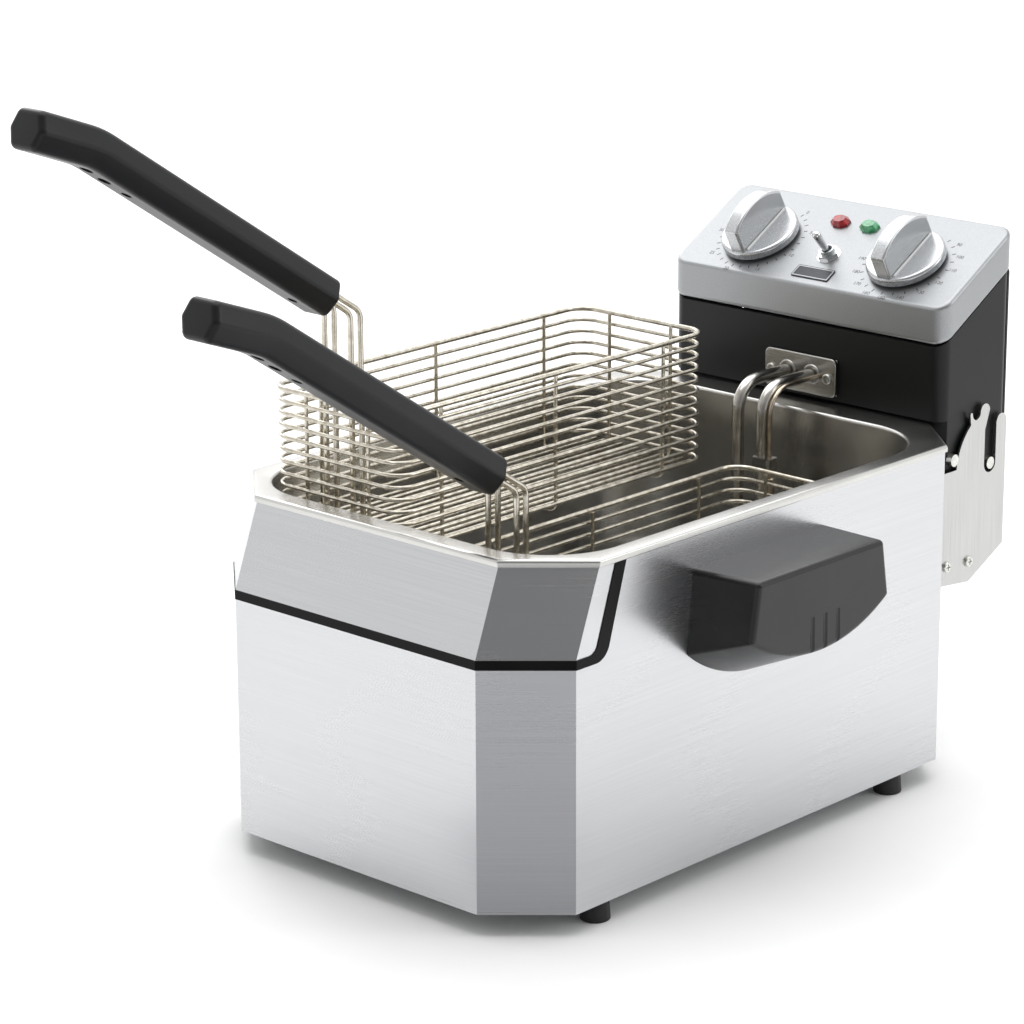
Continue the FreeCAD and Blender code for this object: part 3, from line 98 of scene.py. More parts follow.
def bareMetal(name, finish):
    # worked metal: its grain stretches and breaks the reflections, and a slow haze shifts the gloss
    material = newMaterial(name, {"Metallic": 1.0, "Roughness": finish["roughness"],
                                  "Anisotropic": finish["anisotropy"]})
    place = addNode(material, "ShaderNodeTexCoord")
    patterns = []
    for cells, detail in ((finish["cellMm"], 4.0), (metalHaze["cellMm"], 1.0)):
        scaled = addNode(material, "ShaderNodeMapping", links={"Vector": place.outputs["Object"]},
                         values={"Scale": [1000 / cell for cell in cells]})
        noise = addNode(material, "ShaderNodeTexNoise", links={"Vector": scaled.outputs["Vector"]},
                        values={"Scale": 1.0, "Detail": detail})
        patterns.append(noise.outputs["Fac"])
    grain, haze = patterns
    tint = addNode(material, "ShaderNodeValToRGB", links={"Fac": grain},
                   ramp=((tintFrom, finish["dark"]), (tintTo, finish["light"])))
    grainGloss = addNode(material, "ShaderNodeMapRange", links={"Value": grain},
                         values={"To Min": -finish["spread"], "To Max": finish["spread"]})
    hazeGloss = addNode(material, "ShaderNodeMapRange", links={"Value": haze},
                        values={"To Min": finish["roughness"] - metalHaze["smoother"],
                                "To Max": finish["roughness"] + metalHaze["rougher"]})
    gloss = addNode(material, "ShaderNodeMath", {"operation": "ADD"},
                    links={0: grainGloss.outputs["Result"], 1: hazeGloss.outputs["Result"]})
    bump = addNode(material, "ShaderNodeBump", links={"Height": grain},
                   values={"Distance": finish["relief"] * mm, "Strength": 1.0})
    feed(material, "Base Color", tint.outputs["Color"])
    feed(material, "Roughness", gloss.outputs["Value"])
    feed(material, "Normal", bump.outputs["Normal"])
    return material


# 304 sheet, belt brushed: fine level lines; the real grain is about 0.1 mm, drawn 0.7 mm so that it shows
shellSteel = bareMetal("shellSteel304Brushed", {
    "cellMm": (90, 90, 0.7), "roughness": 0.27, "anisotropy": 0.5, "spread": 0.012, "relief": 0.0008,
    "dark": "#C9CACC", "light": "#CFD0D2"})
# 304 sheet, deep drawn: a soft even gloss with slow waves
tankSteel = bareMetal("tankSteel304Drawn", {
    "cellMm": (30, 30, 60), "roughness": 0.24, "anisotropy": 0.2, "spread": 0.03, "relief": 0.003,
    "dark": "#C9C8C5", "light": "#D2D1CE"})
# folded steel plate, brushed across: brighter and coarser than the shell
bracketSteel = bareMetal("bracketSteelBright", {
    "cellMm": (60, 0.8, 60), "roughness": 0.24, "anisotropy": 0.3, "spread": 0.04, "relief": 0.01,
    "dark": "#B4B4B3", "light": "#C4C4C2"})
# stamped steel plate, polished: short faint lines
plateSteel = bareMetal("plateSteelPolished", {
    "cellMm": (12, 12, 0.9), "roughness": 0.24, "anisotropy": 0.2, "spread": 0.04, "relief": 0.006,
    "dark": "#A9A8A4", "light": "#BBBAB6"})
# drawn tube, annealed: a warm tone with a mild cloud
elementSteel = bareMetal("elementSteelAnnealed", {
    "cellMm": (9, 9, 9), "roughness": 0.2, "anisotropy": 0.0, "spread": 0.04, "relief": 0.004,
    "dark": "#B5B2AC", "light": "#CFCCC6"})
# hot-dipped sheet: dull grey spangle
galvanised = bareMetal("galvanisedSheet", {
    "cellMm": (16, 16, 16), "roughness": 0.42, "anisotropy": 0.0, "spread": 0.08, "relief": 0.01,
    "dark": "#9A9E9F", "light": "#C3C7C8"})
# turned screws, bright zinc plated: a pale satin
zincPlate = bareMetal("zincPlatedScrew", {
    "cellMm": (2, 2, 2), "roughness": 0.30, "anisotropy": 0.0, "spread": 0.05, "relief": 0.006,
    "dark": "#C4C4BE", "light": "#E0E0DB"})
# drawn wire, nickel plated: warm and bright, a little uneven
nickelWire = bareMetal("nickelPlatedWire", {
    "cellMm": (5, 5, 5), "roughness": 0.20, "anisotropy": 0.0, "spread": 0.05, "relief": 0.004,
    "dark": "#B4AD9E", "light": "#DDD8CC"})
# turned brass, chrome plated: nearly a mirror
chromedBrass = bareMetal("chromedBrass", {
    "cellMm": (6, 6, 6), "roughness": 0.07, "anisotropy": 0.0, "spread": 0.02, "relief": 0.002,
    "dark": "#D4D5D6", "light": "#E9EAEB"})
# drawn copper, nickel plated: a brownish satin
nickelCopper = bareMetal("nickelPlatedCopper", {
    "cellMm": (4, 4, 4), "roughness": 0.24, "anisotropy": 0.0, "spread": 0.04, "relief": 0.004,
    "dark": "#B8A994", "light": "#D6CBBA"})
# turned steel bar: fine rings along its length
turnedShaft = bareMetal("turnedShaftSteel", {
    "cellMm": (3, 3, 0.6), "roughness": 0.26, "anisotropy": 0.0, "spread": 0.04, "relief": 0.004,
    "dark": "#BEBEBC", "light": "#DADAD8"})


def mouldedPlastic(name, finish):
    # moulded resin or rubber: eroded-tool grain breaks the highlight into a soft sheen
    material = newMaterial(name, {"Roughness": finish["roughness"], "IOR": 1.5,
                                  "Specular IOR Level": finish.get("gloss", 0.5)})
    place = addNode(material, "ShaderNodeTexCoord")
    patterns = []
    for cellMm in (finish["grainMm"], 40):
        scaled = addNode(material, "ShaderNodeMapping", links={"Vector": place.outputs["Object"]},
                         values={"Scale": [1000 / cellMm] * 3})
        noise = addNode(material, "ShaderNodeTexNoise", links={"Vector": scaled.outputs["Vector"]},
                        values={"Scale": 1.0, "Detail": 2.0})
        patterns.append(noise.outputs["Fac"])
    grain, cloud = patterns
    tint = addNode(material, "ShaderNodeValToRGB", links={"Fac": cloud},
                   ramp=((tintFrom, finish["dark"]), (tintTo, finish["light"])))
    gloss = addNode(material, "ShaderNodeMapRange", links={"Value": grain},
                    values={"To Min": finish["roughness"] - finish["spread"],
                            "To Max": finish["roughness"] + finish["spread"]})
    bump = addNode(material, "ShaderNodeBump", links={"Height": grain},
                   values={"Distance": finish["relief"] * mm, "Strength": 1.0})
    feed(material, "Base Color", tint.outputs["Color"])
    feed(material, "Roughness", gloss.outputs["Result"])
    feed(material, "Normal", bump.outputs["Normal"])
    return material


# glass-filled polyamide, moulded: near black with a dull sheen
gripResin = mouldedPlastic("gripPolyamideMoulded", {
    "roughness": 0.36, "spread": 0.05, "grainMm": 0.9, "relief": 0.006, "gloss": 0.3,
    "dark": "#0B0C0E", "light": "#101114"})
# phenolic resin, moulded and polished: smoother and a shade lighter
sideGripResin = mouldedPlastic("sideGripPhenolicPolished", {
    "roughness": 0.26, "spread": 0.03, "grainMm": 1.2, "relief": 0.004, "gloss": 0.4,
    "dark": "#141415", "light": "#1C1C1D"})
# polypropylene strip: the deepest black here
trimResin = mouldedPlastic("trimPolypropyleneGloss", {
    "roughness": 0.32, "spread": 0.04, "grainMm": 1.5, "relief": 0.004, "gloss": 0.12,
    "dark": "#060607", "light": "#0B0B0C"})
# switch and gland resin, moulded matt
darkResin = mouldedPlastic("switchResinDark", {
    "roughness": 0.45, "spread": 0.06, "grainMm": 0.8, "relief": 0.02, "dark": "#161617", "light": "#202021"})
# heat-proof control resin, moulded matt: cream
beigeResin = mouldedPlastic("controlResinBeige", {
    "roughness": 0.5, "spread": 0.06, "grainMm": 0.8, "relief": 0.02, "dark": "#C2B79C", "light": "#D2C8AF"})
# moulded rubber: rough enough to lose every highlight
footRubber = mouldedPlastic("footRubberMoulded", {
    "roughness": 0.62, "spread": 0.1, "grainMm": 0.9, "relief": 0.05, "dark": "#101011", "light": "#1A1A1B"})
# die-cut silicone sheet: pale and soft
gasketSilicone = mouldedPlastic("gasketSilicone", {
    "roughness": 0.55, "spread": 0.08, "grainMm": 1.0, "relief": 0.03, "dark": "#C9C4B8", "light": "#DCD8CD"})
# clear lamp holders with their wires showing through: a pale gloss
lampGlass = mouldedPlastic("lampHolderClear", {
    "roughness": 0.2, "spread": 0.04, "grainMm": 2.0, "relief": 0.01, "dark": "#D8D4C4", "light": "#EAE7DA"})
# screen-printed ink, and white paint for the painted highlight strips at the knobs' grips: flat, with hardly any grain
dialInk = mouldedPlastic("dialPrintingInk", {
    "roughness": 0.5, "spread": 0.05, "grainMm": 1.0, "relief": 0.002, "dark": "#26272A", "light": "#313236"})
paintedHighlightWhite = mouldedPlastic("paintedHighlightStripWhite", {
    "roughness": 0.4, "spread": 0.05, "grainMm": 1.0, "relief": 0.002, "dark": "#E4E5E6", "light": "#EEEFEF"})


def coatedMetal(name, finish):
    # sprayed and baked coat: a slight orange peel under a satin sheen, with fine flakes in it
    material = newMaterial(name, {"Metallic": finish["metallic"], "Roughness": finish["roughness"],
                                  "Specular IOR Level": finish.get("gloss", 0.5)})
    place = addNode(material, "ShaderNodeTexCoord")
    patterns = []
    for cellMm, detail in ((finish["peelMm"], 2.0), (finish["flakeMm"], 1.0)):
        scaled = addNode(material, "ShaderNodeMapping", links={"Vector": place.outputs["Object"]},
                         values={"Scale": [1000 / cellMm] * 3})
        noise = addNode(material, "ShaderNodeTexNoise", links={"Vector": scaled.outputs["Vector"]},
                        values={"Scale": 1.0, "Detail": detail})
        patterns.append(noise.outputs["Fac"])
    peel, flake = patterns
    tint = addNode(material, "ShaderNodeValToRGB", links={"Fac": flake},
                   ramp=((tintFrom, finish["dark"]), (tintTo, finish["light"])))
    gloss = addNode(material, "ShaderNodeMapRange", links={"Value": flake},
                    values={"To Min": finish["roughness"] - 0.05, "To Max": finish["roughness"] + 0.05})
    bump = addNode(material, "ShaderNodeBump", links={"Height": peel},
                   values={"Distance": finish["relief"] * mm, "Strength": 1.0})
    feed(material, "Base Color", tint.outputs["Color"])
    feed(material, "Roughness", gloss.outputs["Result"])
    feed(material, "Normal", bump.outputs["Normal"])
    return material


# powder coat, baked: black satin with a fine peel
housingCoat = coatedMetal("housingPowderCoatBlack", {
    "metallic": 0.0, "roughness": 0.40, "peelMm": 2.2, "flakeMm": 0.8, "relief": 0.01, "gloss": 0.3,
    "dark": "#0D0D0E", "light": "#131314"})
# silver lacquer over a moulded bezel: an even matt silver
bezelCoat = coatedMetal("bezelSilverLacquer", {
    "metallic": 0.85, "roughness": 0.36, "peelMm": 3.0, "flakeMm": 0.7, "relief": 0.004,
    "dark": "#9A9C9E", "light": "#A6A8AA"})
# the same lacquer over polished knobs: brighter
knobCoat = coatedMetal("knobSilverLacquer", {
    "metallic": 0.9, "roughness": 0.25, "peelMm": 4.0, "flakeMm": 0.8, "relief": 0.004,
    "dark": "#BCBEC0", "light": "#CBCDCF"})
# printed foil label: dark, with a metal sheen
nameFoil = coatedMetal("namePlateFoil", {
    "metallic": 0.9, "roughness": 0.3, "peelMm": 3.0, "flakeMm": 0.6, "relief": 0.004,
    "dark": "#3B3C3E", "light": "#48494C"})

lensCap = {"roughness": 0.08, "transmission": 0.35, "coat": 0.6, "coatRoughness": 0.05, "facetMm": 3.0, "relief": 0.15}


def tintedLens(name, dark, light):
    # moulded polycarbonate: a clear coloured shell over a bright, faceted inside
    material = newMaterial(name, {"Roughness": lensCap["roughness"], "IOR": 1.585,
                                  "Transmission Weight": lensCap["transmission"],
                                  "Coat Weight": lensCap["coat"], "Coat Roughness": lensCap["coatRoughness"]})
    place = addNode(material, "ShaderNodeTexCoord")
    scaled = addNode(material, "ShaderNodeMapping", links={"Vector": place.outputs["Object"]},
                     values={"Scale": [1000 / lensCap["facetMm"]] * 3})
    facets = addNode(material, "ShaderNodeTexNoise", links={"Vector": scaled.outputs["Vector"]},
                     values={"Scale": 1.0, "Detail": 1.0})
    tint = addNode(material, "ShaderNodeValToRGB", links={"Fac": facets.outputs["Fac"]},
                   ramp=((tintFrom, dark), (tintTo, light)))
    bump = addNode(material, "ShaderNodeBump", links={"Height": facets.outputs["Fac"]},
                   values={"Distance": lensCap["relief"] * mm, "Strength": 1.0})
    feed(material, "Base Color", tint.outputs["Color"])
    feed(material, "Normal", bump.outputs["Normal"])
    return material


redLens = tintedLens("redLensPolycarbonate", "#8E1018", "#D2202A")
greenLens = tintedLens("greenLensPolycarbonate", "#1F9A5C", "#8BE0AE")
print("materials ready")


# what each CAD node is made of
nodeFinishes = {
    "trim_strip": trimResin, "base_plate": galvanised, "rubber_feet": footRubber, "foot_screws": zincPlate,
    "side_handle_screws": zincPlate, "bracket_tie": bracketSteel, "bracket_screws": zincPlate,
    "head_back_cover": housingCoat, "back_cover_screws": zincPlate, "element_gasket": gasketSilicone,
    "element_plate_screws": zincPlate, "heating_element": elementSteel, "element_stand": elementSteel,
    "sensor_bulb": nickelCopper, "sensor_clip": plateSteel, "timer_mechanism": beigeResin,
    "thermostat": beigeResin, "switch_body": galvanised, "switch_nut": chromedBrass,
    "indicator_lamps": lampGlass, "terminal_block": beigeResin, "limit_thermostat": darkResin,
    "interlock_switch": darkResin, "red_lens": redLens, "green_lens": greenLens, "name_plate": nameFoil,
    "head_pins": zincPlate, "cord_gland": darkResin, "timer_knob": knobCoat, "temperature_knob": knobCoat,
    "timer_shaft": turnedShaft, "thermostat_shaft": turnedShaft, "toggle_lever": chromedBrass,
    "reset_button": darkResin, "outer_shell": shellSteel, "front_fascia": shellSteel, "oil_tank": tankSteel,
    "side_handle_left": sideGripResin, "side_handle_right": sideGripResin, "hinge_bracket_left": bracketSteel,
    "hinge_bracket_right": bracketSteel, "head_housing": housingCoat, "head_bezel": bezelCoat,
    "element_plate": plateSteel,
}
for side in ("left", "right"):
    for part in ("inner_wall", "outer_wall", "front_wall", "rear_wall", "floor", "handle_wires"):
        nodeFinishes["%s_basket_%s" % (side, part)] = nickelWire
    for part in ("grip_upper", "grip_lower"):
        nodeFinishes["%s_basket_%s" % (side, part)] = gripResin

for name, material in nodeFinishes.items():
    nodes[name].data.materials.clear()
    nodes[name].data.materials.append(material)

# sheet and moulded parts whose edges are visibly rounded, with edge and fold radii in mm
roundedPieces = {
    "shellSheet": {"node": "outer_shell", "body": "housing", "edge": 0.45, "fold": 3.2},
    "fasciaSheet": {"node": "front_fascia", "body": "housing", "edge": 0.45, "fold": 3.2},
    "tankSheet": {"node": "oil_tank", "body": "housing", "edge": 0.45, "fold": 0.45},
    "leftCheekSheet": {"node": "hinge_bracket_left", "body": "housing", "edge": 0.3, "fold": 0.3},
    "rightCheekSheet": {"node": "hinge_bracket_right", "body": "housing", "edge": 0.3, "fold": 0.3},
    "headShell": {"node": "head_housing", "body": "housing", "edge": 0.5, "fold": 0.5},
    "leftGripTop": {"node": "left_basket_grip_upper", "body": "left_basket", "edge": 0.35, "fold": 0.35},
    "leftGripUnder": {"node": "left_basket_grip_lower", "body": "left_basket", "edge": 0.35, "fold": 0.35},
    "rightGripTop": {"node": "right_basket_grip_upper", "body": "right_basket", "edge": 0.35, "fold": 0.35},
    "rightGripUnder": {"node": "right_basket_grip_lower", "body": "right_basket", "edge": 0.35, "fold": 0.35},
}
edgeRules = {
    "sharpDegrees": 32, "flatDegrees": 0.5, "weldMm": 0.005, "foldLongMm": 30, "foldUpright": 0.85, "segments": 4,
}


def isFold(edge):
    # long upright edge between two faces of a bent sheet
    run = edge.verts[1].co - edge.verts[0].co
    return run.length > edgeRules["foldLongMm"] * mm and abs(run.z) > edgeRules["foldUpright"] * run.length


def weighEdges(sheet, edgeShare):
    layers = sheet.edges.layers.float
    weights = layers.get("bevel_weight_edge") or layers.new("bevel_weight_edge")
    sharpAngle = math.radians(edgeRules["sharpDegrees"])
    for edge in sheet.edges:
        sharp = len(edge.link_faces) == 2 and edge.calc_face_angle(0) > sharpAngle
        edge[weights] = (1.0 if isFold(edge) else edgeShare) if sharp else 0.0


def roundEdges(name, rounding):
    mesh = nodes[rounding["node"]].data.copy()
    piece = addObject(name, mesh)
    sheet = bmesh.new()
    sheet.from_mesh(mesh)
    bmesh.ops.remove_doubles(sheet, verts=sheet.verts, dist=edgeRules["weldMm"] * mm)
    bmesh.ops.dissolve_limit(sheet, angle_limit=math.radians(edgeRules["flatDegrees"]),
                             verts=sheet.verts, edges=sheet.edges)
    weighEdges(sheet, rounding["edge"] / rounding["fold"])
    sheet.to_mesh(mesh)
    sheet.free()
    mesh.shade_smooth()
    mesh.set_sharp_from_angle(angle=math.radians(edgeRules["sharpDegrees"]))
    bevel = piece.modifiers.new("edges", "BEVEL")
    bevel.width = rounding["fold"] * mm
    bevel.segments = edgeRules["segments"]
    bevel.limit_method = "WEIGHT"
    bevel.harden_normals = True
    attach(piece, rounding["body"])
    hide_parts(rounding["node"])


for name, rounding in roundedPieces.items():
    roundEdges(name, rounding)
print("sheet parts rounded")


# basket mesh, drawn as bent wire; sizes in mm, wires by radius
basketWire = {
    "rim": 1.7, "mesh": 1.25, "ringCount": 12, "ringPitch": 7.5, "depth": 88.0, "corner": 14.0, "cornerSteps": 10,
    "roundness": 3, "bend": 5, "topGap": 0.4, "rowShares": (0.1, 0.5, 0.9), "columnsOut": 26,
    "floorPitch": 7.4, "floorPerSide": 6, "floorShort": 3, "floorDip": 0.9,
}


def wireObject(name, paths, side, replaced):
    # paths: list of (points in mm, radius in mm, closed)
    curve = bpy.data.curves.new(name, "CURVE")
    curve.dimensions = "3D"
    curve.bevel_depth = 1 * mm
    curve.bevel_resolution = basketWire["roundness"]
    curve.use_fill_caps = True
    for points, radius, closed in paths:
        spline = curve.splines.new("POLY")
        spline.points.add(len(points) - 1)
        for target, point in zip(spline.points, points):
            target.co = (point[0] * mm, point[1] * mm, point[2] * mm, 1)
            target.radius = radius
        spline.use_cyclic_u = closed
        spline.use_smooth = True
    curve.materials.append(nickelWire)
    wire = addObject(name, curve)
    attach(wire, side + "_basket")
    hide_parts(*replaced)


def roundedLoop(left, right, front, rear, high, corner):
    points = []
    steps = basketWire["cornerSteps"]
    for hubX, hubY, startTurn in ((right - corner, front + corner, -90), (right - corner, rear - corner, 0),
                                  (left + corner, rear - corner, 90), (left + corner, front + corner, 180)):
        for step in range(steps + 1):
            turn = math.radians(startTurn + 90 * step / steps)
            points.append((hubX + corner * math.cos(turn), hubY + corner * math.sin(turn), high))
    return points


def bentPath(points, bend, steps=8):
    # straight runs with tangent bends
    path = [Vector(points[0])]
    for before, corner, after in zip(points, points[1:], points[2:]):
        corner = Vector(corner)
        back = (Vector(before) - corner).normalized()
        ahead = (Vector(after) - corner).normalized()
        half = back.angle(ahead) / 2
        reach = bend / math.tan(half)
        hub = corner + (back + ahead).normalized() * bend / math.sin(half)
        first = corner + back * reach - hub
        last = corner + ahead * reach - hub
        spin = first.cross(last).normalized()
        sweep = first.angle(last)
        for step in range(steps + 1):
            path.append(hub + Matrix.Rotation(sweep * step / steps, 3, spin) @ first)
    path.append(Vector(points[-1]))
    return path


def makeBasketWires(side):
    low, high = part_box(side + "_basket_front_wall")
    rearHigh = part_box(side + "_basket_rear_wall")[1]
    rim = basketWire["rim"]
    mesh = basketWire["mesh"]
    corner = basketWire["corner"]
    left = low.x / mm + rim
    right = high.x / mm - rim
    front = low.y / mm + rim
    rear = rearHigh.y / mm - rim
    rimHigh = high.z / mm - rim
    floorHigh = rimHigh - basketWire["depth"]
    middle = (left + right) / 2
    walls = []
    for index in range(basketWire["ringCount"]):
        level = rimHigh - index * basketWire["ringPitch"]
        walls.append((roundedLoop(left, right, front, rear, level, corner), mesh if index else rim, True))
    # each upright goes down one side, across under the floor and up the other side
    inset = rim + mesh
    topEnd = rimHigh - basketWire["topGap"]
    span = rear - front - 2 * corner
    for share in basketWire["rowShares"]:
        back = front + corner + span * share
        route = [(left + inset, back, topEnd), (left + inset, back, floorHigh),
                 (right - inset, back, floorHigh), (right - inset, back, topEnd)]
        walls.append((bentPath(route, basketWire["bend"]), mesh, False))
    for across in (middle - basketWire["columnsOut"], middle + basketWire["columnsOut"]):
        route = [(across, front + inset, topEnd), (across, front + inset, floorHigh),
                 (across, rear - inset, floorHigh), (across, rear - inset, topEnd)]
        walls.append((bentPath(route, basketWire["bend"]), mesh, False))
    wireObject(side + "BasketRings", walls, side,
               [side + "_basket_" + wall for wall in ("inner_wall", "outer_wall", "front_wall", "rear_wall")])
    floor = []
    foot = floorHigh + mesh
    ends = foot + mesh * basketWire["floorDip"]
    for step in range(-basketWire["floorPerSide"], basketWire["floorPerSide"] + 1):
        offset = step * basketWire["floorPitch"]
        past = max(0, abs(offset) - (right - middle - corner))  # how far this wire lies into the rounded corners
        short = basketWire["floorShort"] + (corner - math.sqrt(max(0, corner ** 2 - past ** 2)))
        across = middle + offset
        floor.append(([(across, front + short, ends), (across, (front + rear) / 2, foot + mesh),
                       (across, rear - short, ends)], mesh, False))
    wireObject(side + "BasketFloor", floor, side, [side + "_basket_floor"])
    return rimHigh, middle


# the two bent handle wires of a basket; front and rear are measured from the CAD's own datum
basketHandle = {
    "wire": 1.8, "across": 11.0, "front": 57.3, "rear": 65.3, "bendAbove": 54.0, "angle": 33.0, "insideGrip": 60.0,
    "bottomBelowRim": 80.0, "footHigh": 10, "wideBend": 9.0, "tightBend": 3.9, "datumBack": 162.58,
}


def makeHandleWires(side, rimHigh, middle):
    handle = basketHandle
    front = handle["front"] - handle["datumBack"]
    rear = handle["rear"] - handle["datumBack"]
    top = rimHigh + handle["bendAbove"]
    low = rimHigh - handle["bottomBelowRim"]
    foot = low + handle["footHigh"]
    slope = math.radians(handle["angle"])
    run = Vector((0, -math.cos(slope), math.sin(slope))) * handle["insideGrip"]
    paths = []
    for across in (-handle["across"], handle["across"]):
        x = middle + across
        frontTop = Vector((x, front, top))
        rearTop = Vector((x, rear, top))
        upper = bentPath([frontTop + run, frontTop, (x, front, foot)], handle["wideBend"])
        lower = bentPath([(x, front, foot), (x, front, low), (x, rear, low), (x, rear, foot)], handle["tightBend"])
        back = bentPath([(x, rear, foot), rearTop, rearTop + run], handle["wideBend"])
        paths.append((upper[:-1] + lower[1:-1] + back[1:], handle["wire"], False))
    wireObject(side + "BasketHandleWires", paths, side, [side + "_basket_handle_wires"])


for side in ("left", "right"):
    rimHigh, middle = makeBasketWires(side)
    makeHandleWires(side, rimHigh, middle)
print("baskets wired")


def panelFrame(jointName):
    # X along the panel, Z out of it, at the joint's own point
    joint = joints[jointName]
    normal = Vector(joint["axis"]).normalized()
    across = Vector((1, 0, 0))
    turn = Matrix((across, normal.cross(across), normal)).transposed().to_4x4()
    return Matrix.Translation(Vector(joint["pos_m"])) @ turn


# printing around the two dials, in mm; turns are degrees clockwise from straight up
dialPrint = {
    "height": 0.02, "tickLength": 2.6, "tickWidth": 0.7, "tickRadius": 29.4, "numberRadius": 34.9,
    "numberHigh": 4.0,
}
dials = {
    "timer": {"joint": "timer_turn", "ticks": [30 + 12 * k for k in range(21)],
              "numbers": [(str(5 * k), 30 + 40 * k) for k in range(7)]},
    "temperature": {"joint": "temperature_turn", "ticks": [30 + 15 * k for k in range(17)],
                    "numbers": [(str(90 + 10 * k), 45 + 22 * k) for k in range(11)]},
}


def makeTicks(name, dial):
    ticks = bmesh.new()
    lift = Vector((0, 0, dialPrint["height"] * 2))
    for turn in dial["ticks"]:
        angle = math.radians(90 - turn)
        outward = Vector((math.cos(angle), math.sin(angle), 0))
        along = Vector((-outward.y, outward.x, 0)) * dialPrint["tickWidth"] / 2
        inner = outward * dialPrint["tickRadius"]
        outer = outward * (dialPrint["tickRadius"] + dialPrint["tickLength"])
        corners = [inner - along, inner + along, outer + along, outer - along]
        base = [ticks.verts.new(corner * mm) for corner in corners]
        top = [ticks.verts.new((corner + lift) * mm) for corner in corners]
        ticks.faces.new(top)
        ticks.faces.new(base[::-1])
        for i in range(4):
            ticks.faces.new((base[i], base[(i + 1) % 4], top[(i + 1) % 4], top[i]))
    bmesh.ops.recalc_face_normals(ticks, faces=ticks.faces)
    mesh = bpy.data.meshes.new(name)
    ticks.to_mesh(mesh)
    ticks.free()
    mesh.materials.append(dialInk)
    piece = addObject(name, mesh)
    piece.matrix_world = panelFrame(dial["joint"])
    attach(piece, "housing")


def makeNumbers(name, dial):
    radius = dialPrint["numberRadius"]
    for index, (label, turn) in enumerate(dial["numbers"]):
        numberName = "%s%d" % (name, index)
        text = bpy.data.curves.new(numberName, "FONT")
        text.body = label
        text.size = dialPrint["numberHigh"] * mm
        text.align_x = "CENTER"
        text.align_y = "CENTER"
        text.extrude = dialPrint["height"] * mm
        text.materials.append(dialInk)
        piece = addObject(numberName, text)
        angle = math.radians(90 - turn)
        place = Vector((math.cos(angle) * radius, math.sin(angle) * radius, dialPrint["height"])) * mm
        piece.matrix_world = panelFrame(dial["joint"]) @ Matrix.Translation(place)
        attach(piece, "housing")


def boxesPiece(name, boxes, place, material, body):
    # boxes: (low, high) corners in mm
    shape = bmesh.new()
    for low, high in boxes:
        middle = (Vector(low) + Vector(high)) / 2 * mm
        span = (Vector(high) - Vector(low)) * mm
        bmesh.ops.create_cube(shape, size=1, matrix=Matrix.Translation(middle) @ Matrix.Diagonal((*span, 1)))
    mesh = bpy.data.meshes.new(name)
    shape.to_mesh(mesh)
    shape.free()
    mesh.materials.append(material)
    piece = addObject(name, mesh)
    piece.matrix_world = place
    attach(piece, body)


# white strip along the foot of a knob's finger grip: a painted highlight where the grip meets the disc, in mm from the
# knob's axis
knobPaintedHighlight = {"across": 6.6, "long": 44.0, "wide": 1.3, "proud": 0.9, "discTop": 7.8, "sunk": 0.4}


def makeKnobPaintedHighlight(name, jointName, body):
    half = knobPaintedHighlight["wide"] / 2
    reach = knobPaintedHighlight["long"] / 2
    low = (knobPaintedHighlight["across"] - half, -reach, knobPaintedHighlight["discTop"] - knobPaintedHighlight["sunk"])
    high = (knobPaintedHighlight["across"] + half, reach, knobPaintedHighlight["discTop"] + knobPaintedHighlight["proud"])
    boxesPiece(name, [(low, high)], panelFrame(jointName), paintedHighlightWhite, body)


# raised border of the blank name plate, in mm on the panel
plateFrame = {
    "place": (60, -34.5, 0), "wide": 30.0, "deep": 11.0, "back": 10.0, "inset": 0.6, "border": 0.8,
    "plateTop": 0.65, "sunk": 0.05, "proud": 0.12,
}


def makePlateFrame():
    half = plateFrame["wide"] / 2 - plateFrame["inset"]
    deep = plateFrame["deep"] / 2 - plateFrame["inset"]
    edge = plateFrame["border"]
    back = plateFrame["back"]
    low = plateFrame["plateTop"] - plateFrame["sunk"]
    high = plateFrame["plateTop"] + plateFrame["proud"]
    sides = [((-half, back - deep, low), (half, back - deep + edge, high)),
             ((-half, back + deep - edge, low), (half, back + deep, high)),
             ((-half, back - deep + edge, low), (-half + edge, back + deep - edge, high)),
             ((half - edge, back - deep + edge, low), (half, back + deep - edge, high))]
    place = panelFrame("timer_turn") @ Matrix.Translation(Vector(plateFrame["place"]) * mm)
    boxesPiece("namePlateFrame", sides, place, bezelCoat, "housing")


# each knob gets a white strip, a painted highlight along the root of its grip
makeKnobPaintedHighlight("timerPaintedHighlight", "timer_turn", "timer_dial")
makeKnobPaintedHighlight("temperaturePaintedHighlight", "temperature_turn", "temperature_dial")
makePlateFrame()
for name, dial in dials.items():
    makeTicks(name + "Ticks", dial)
    makeNumbers(name + "Number", dial)
print("dials printed")


def stagedSheet(name, corners, material):
    mesh = bpy.data.meshes.new(name)
    mesh.from_pydata(corners, [], [(0, 1, 2, 3)])
    mesh.materials.append(material)
    sheet = addObject(name, mesh)
    return sheet


# matt studio paper, in metres; its fibre clouds are barely visible
floorPaper = {"size": 16.0, "dark": "#F6F6F6", "light": "#F8F8F8", "cloudMm": 60, "roughness": 0.9}


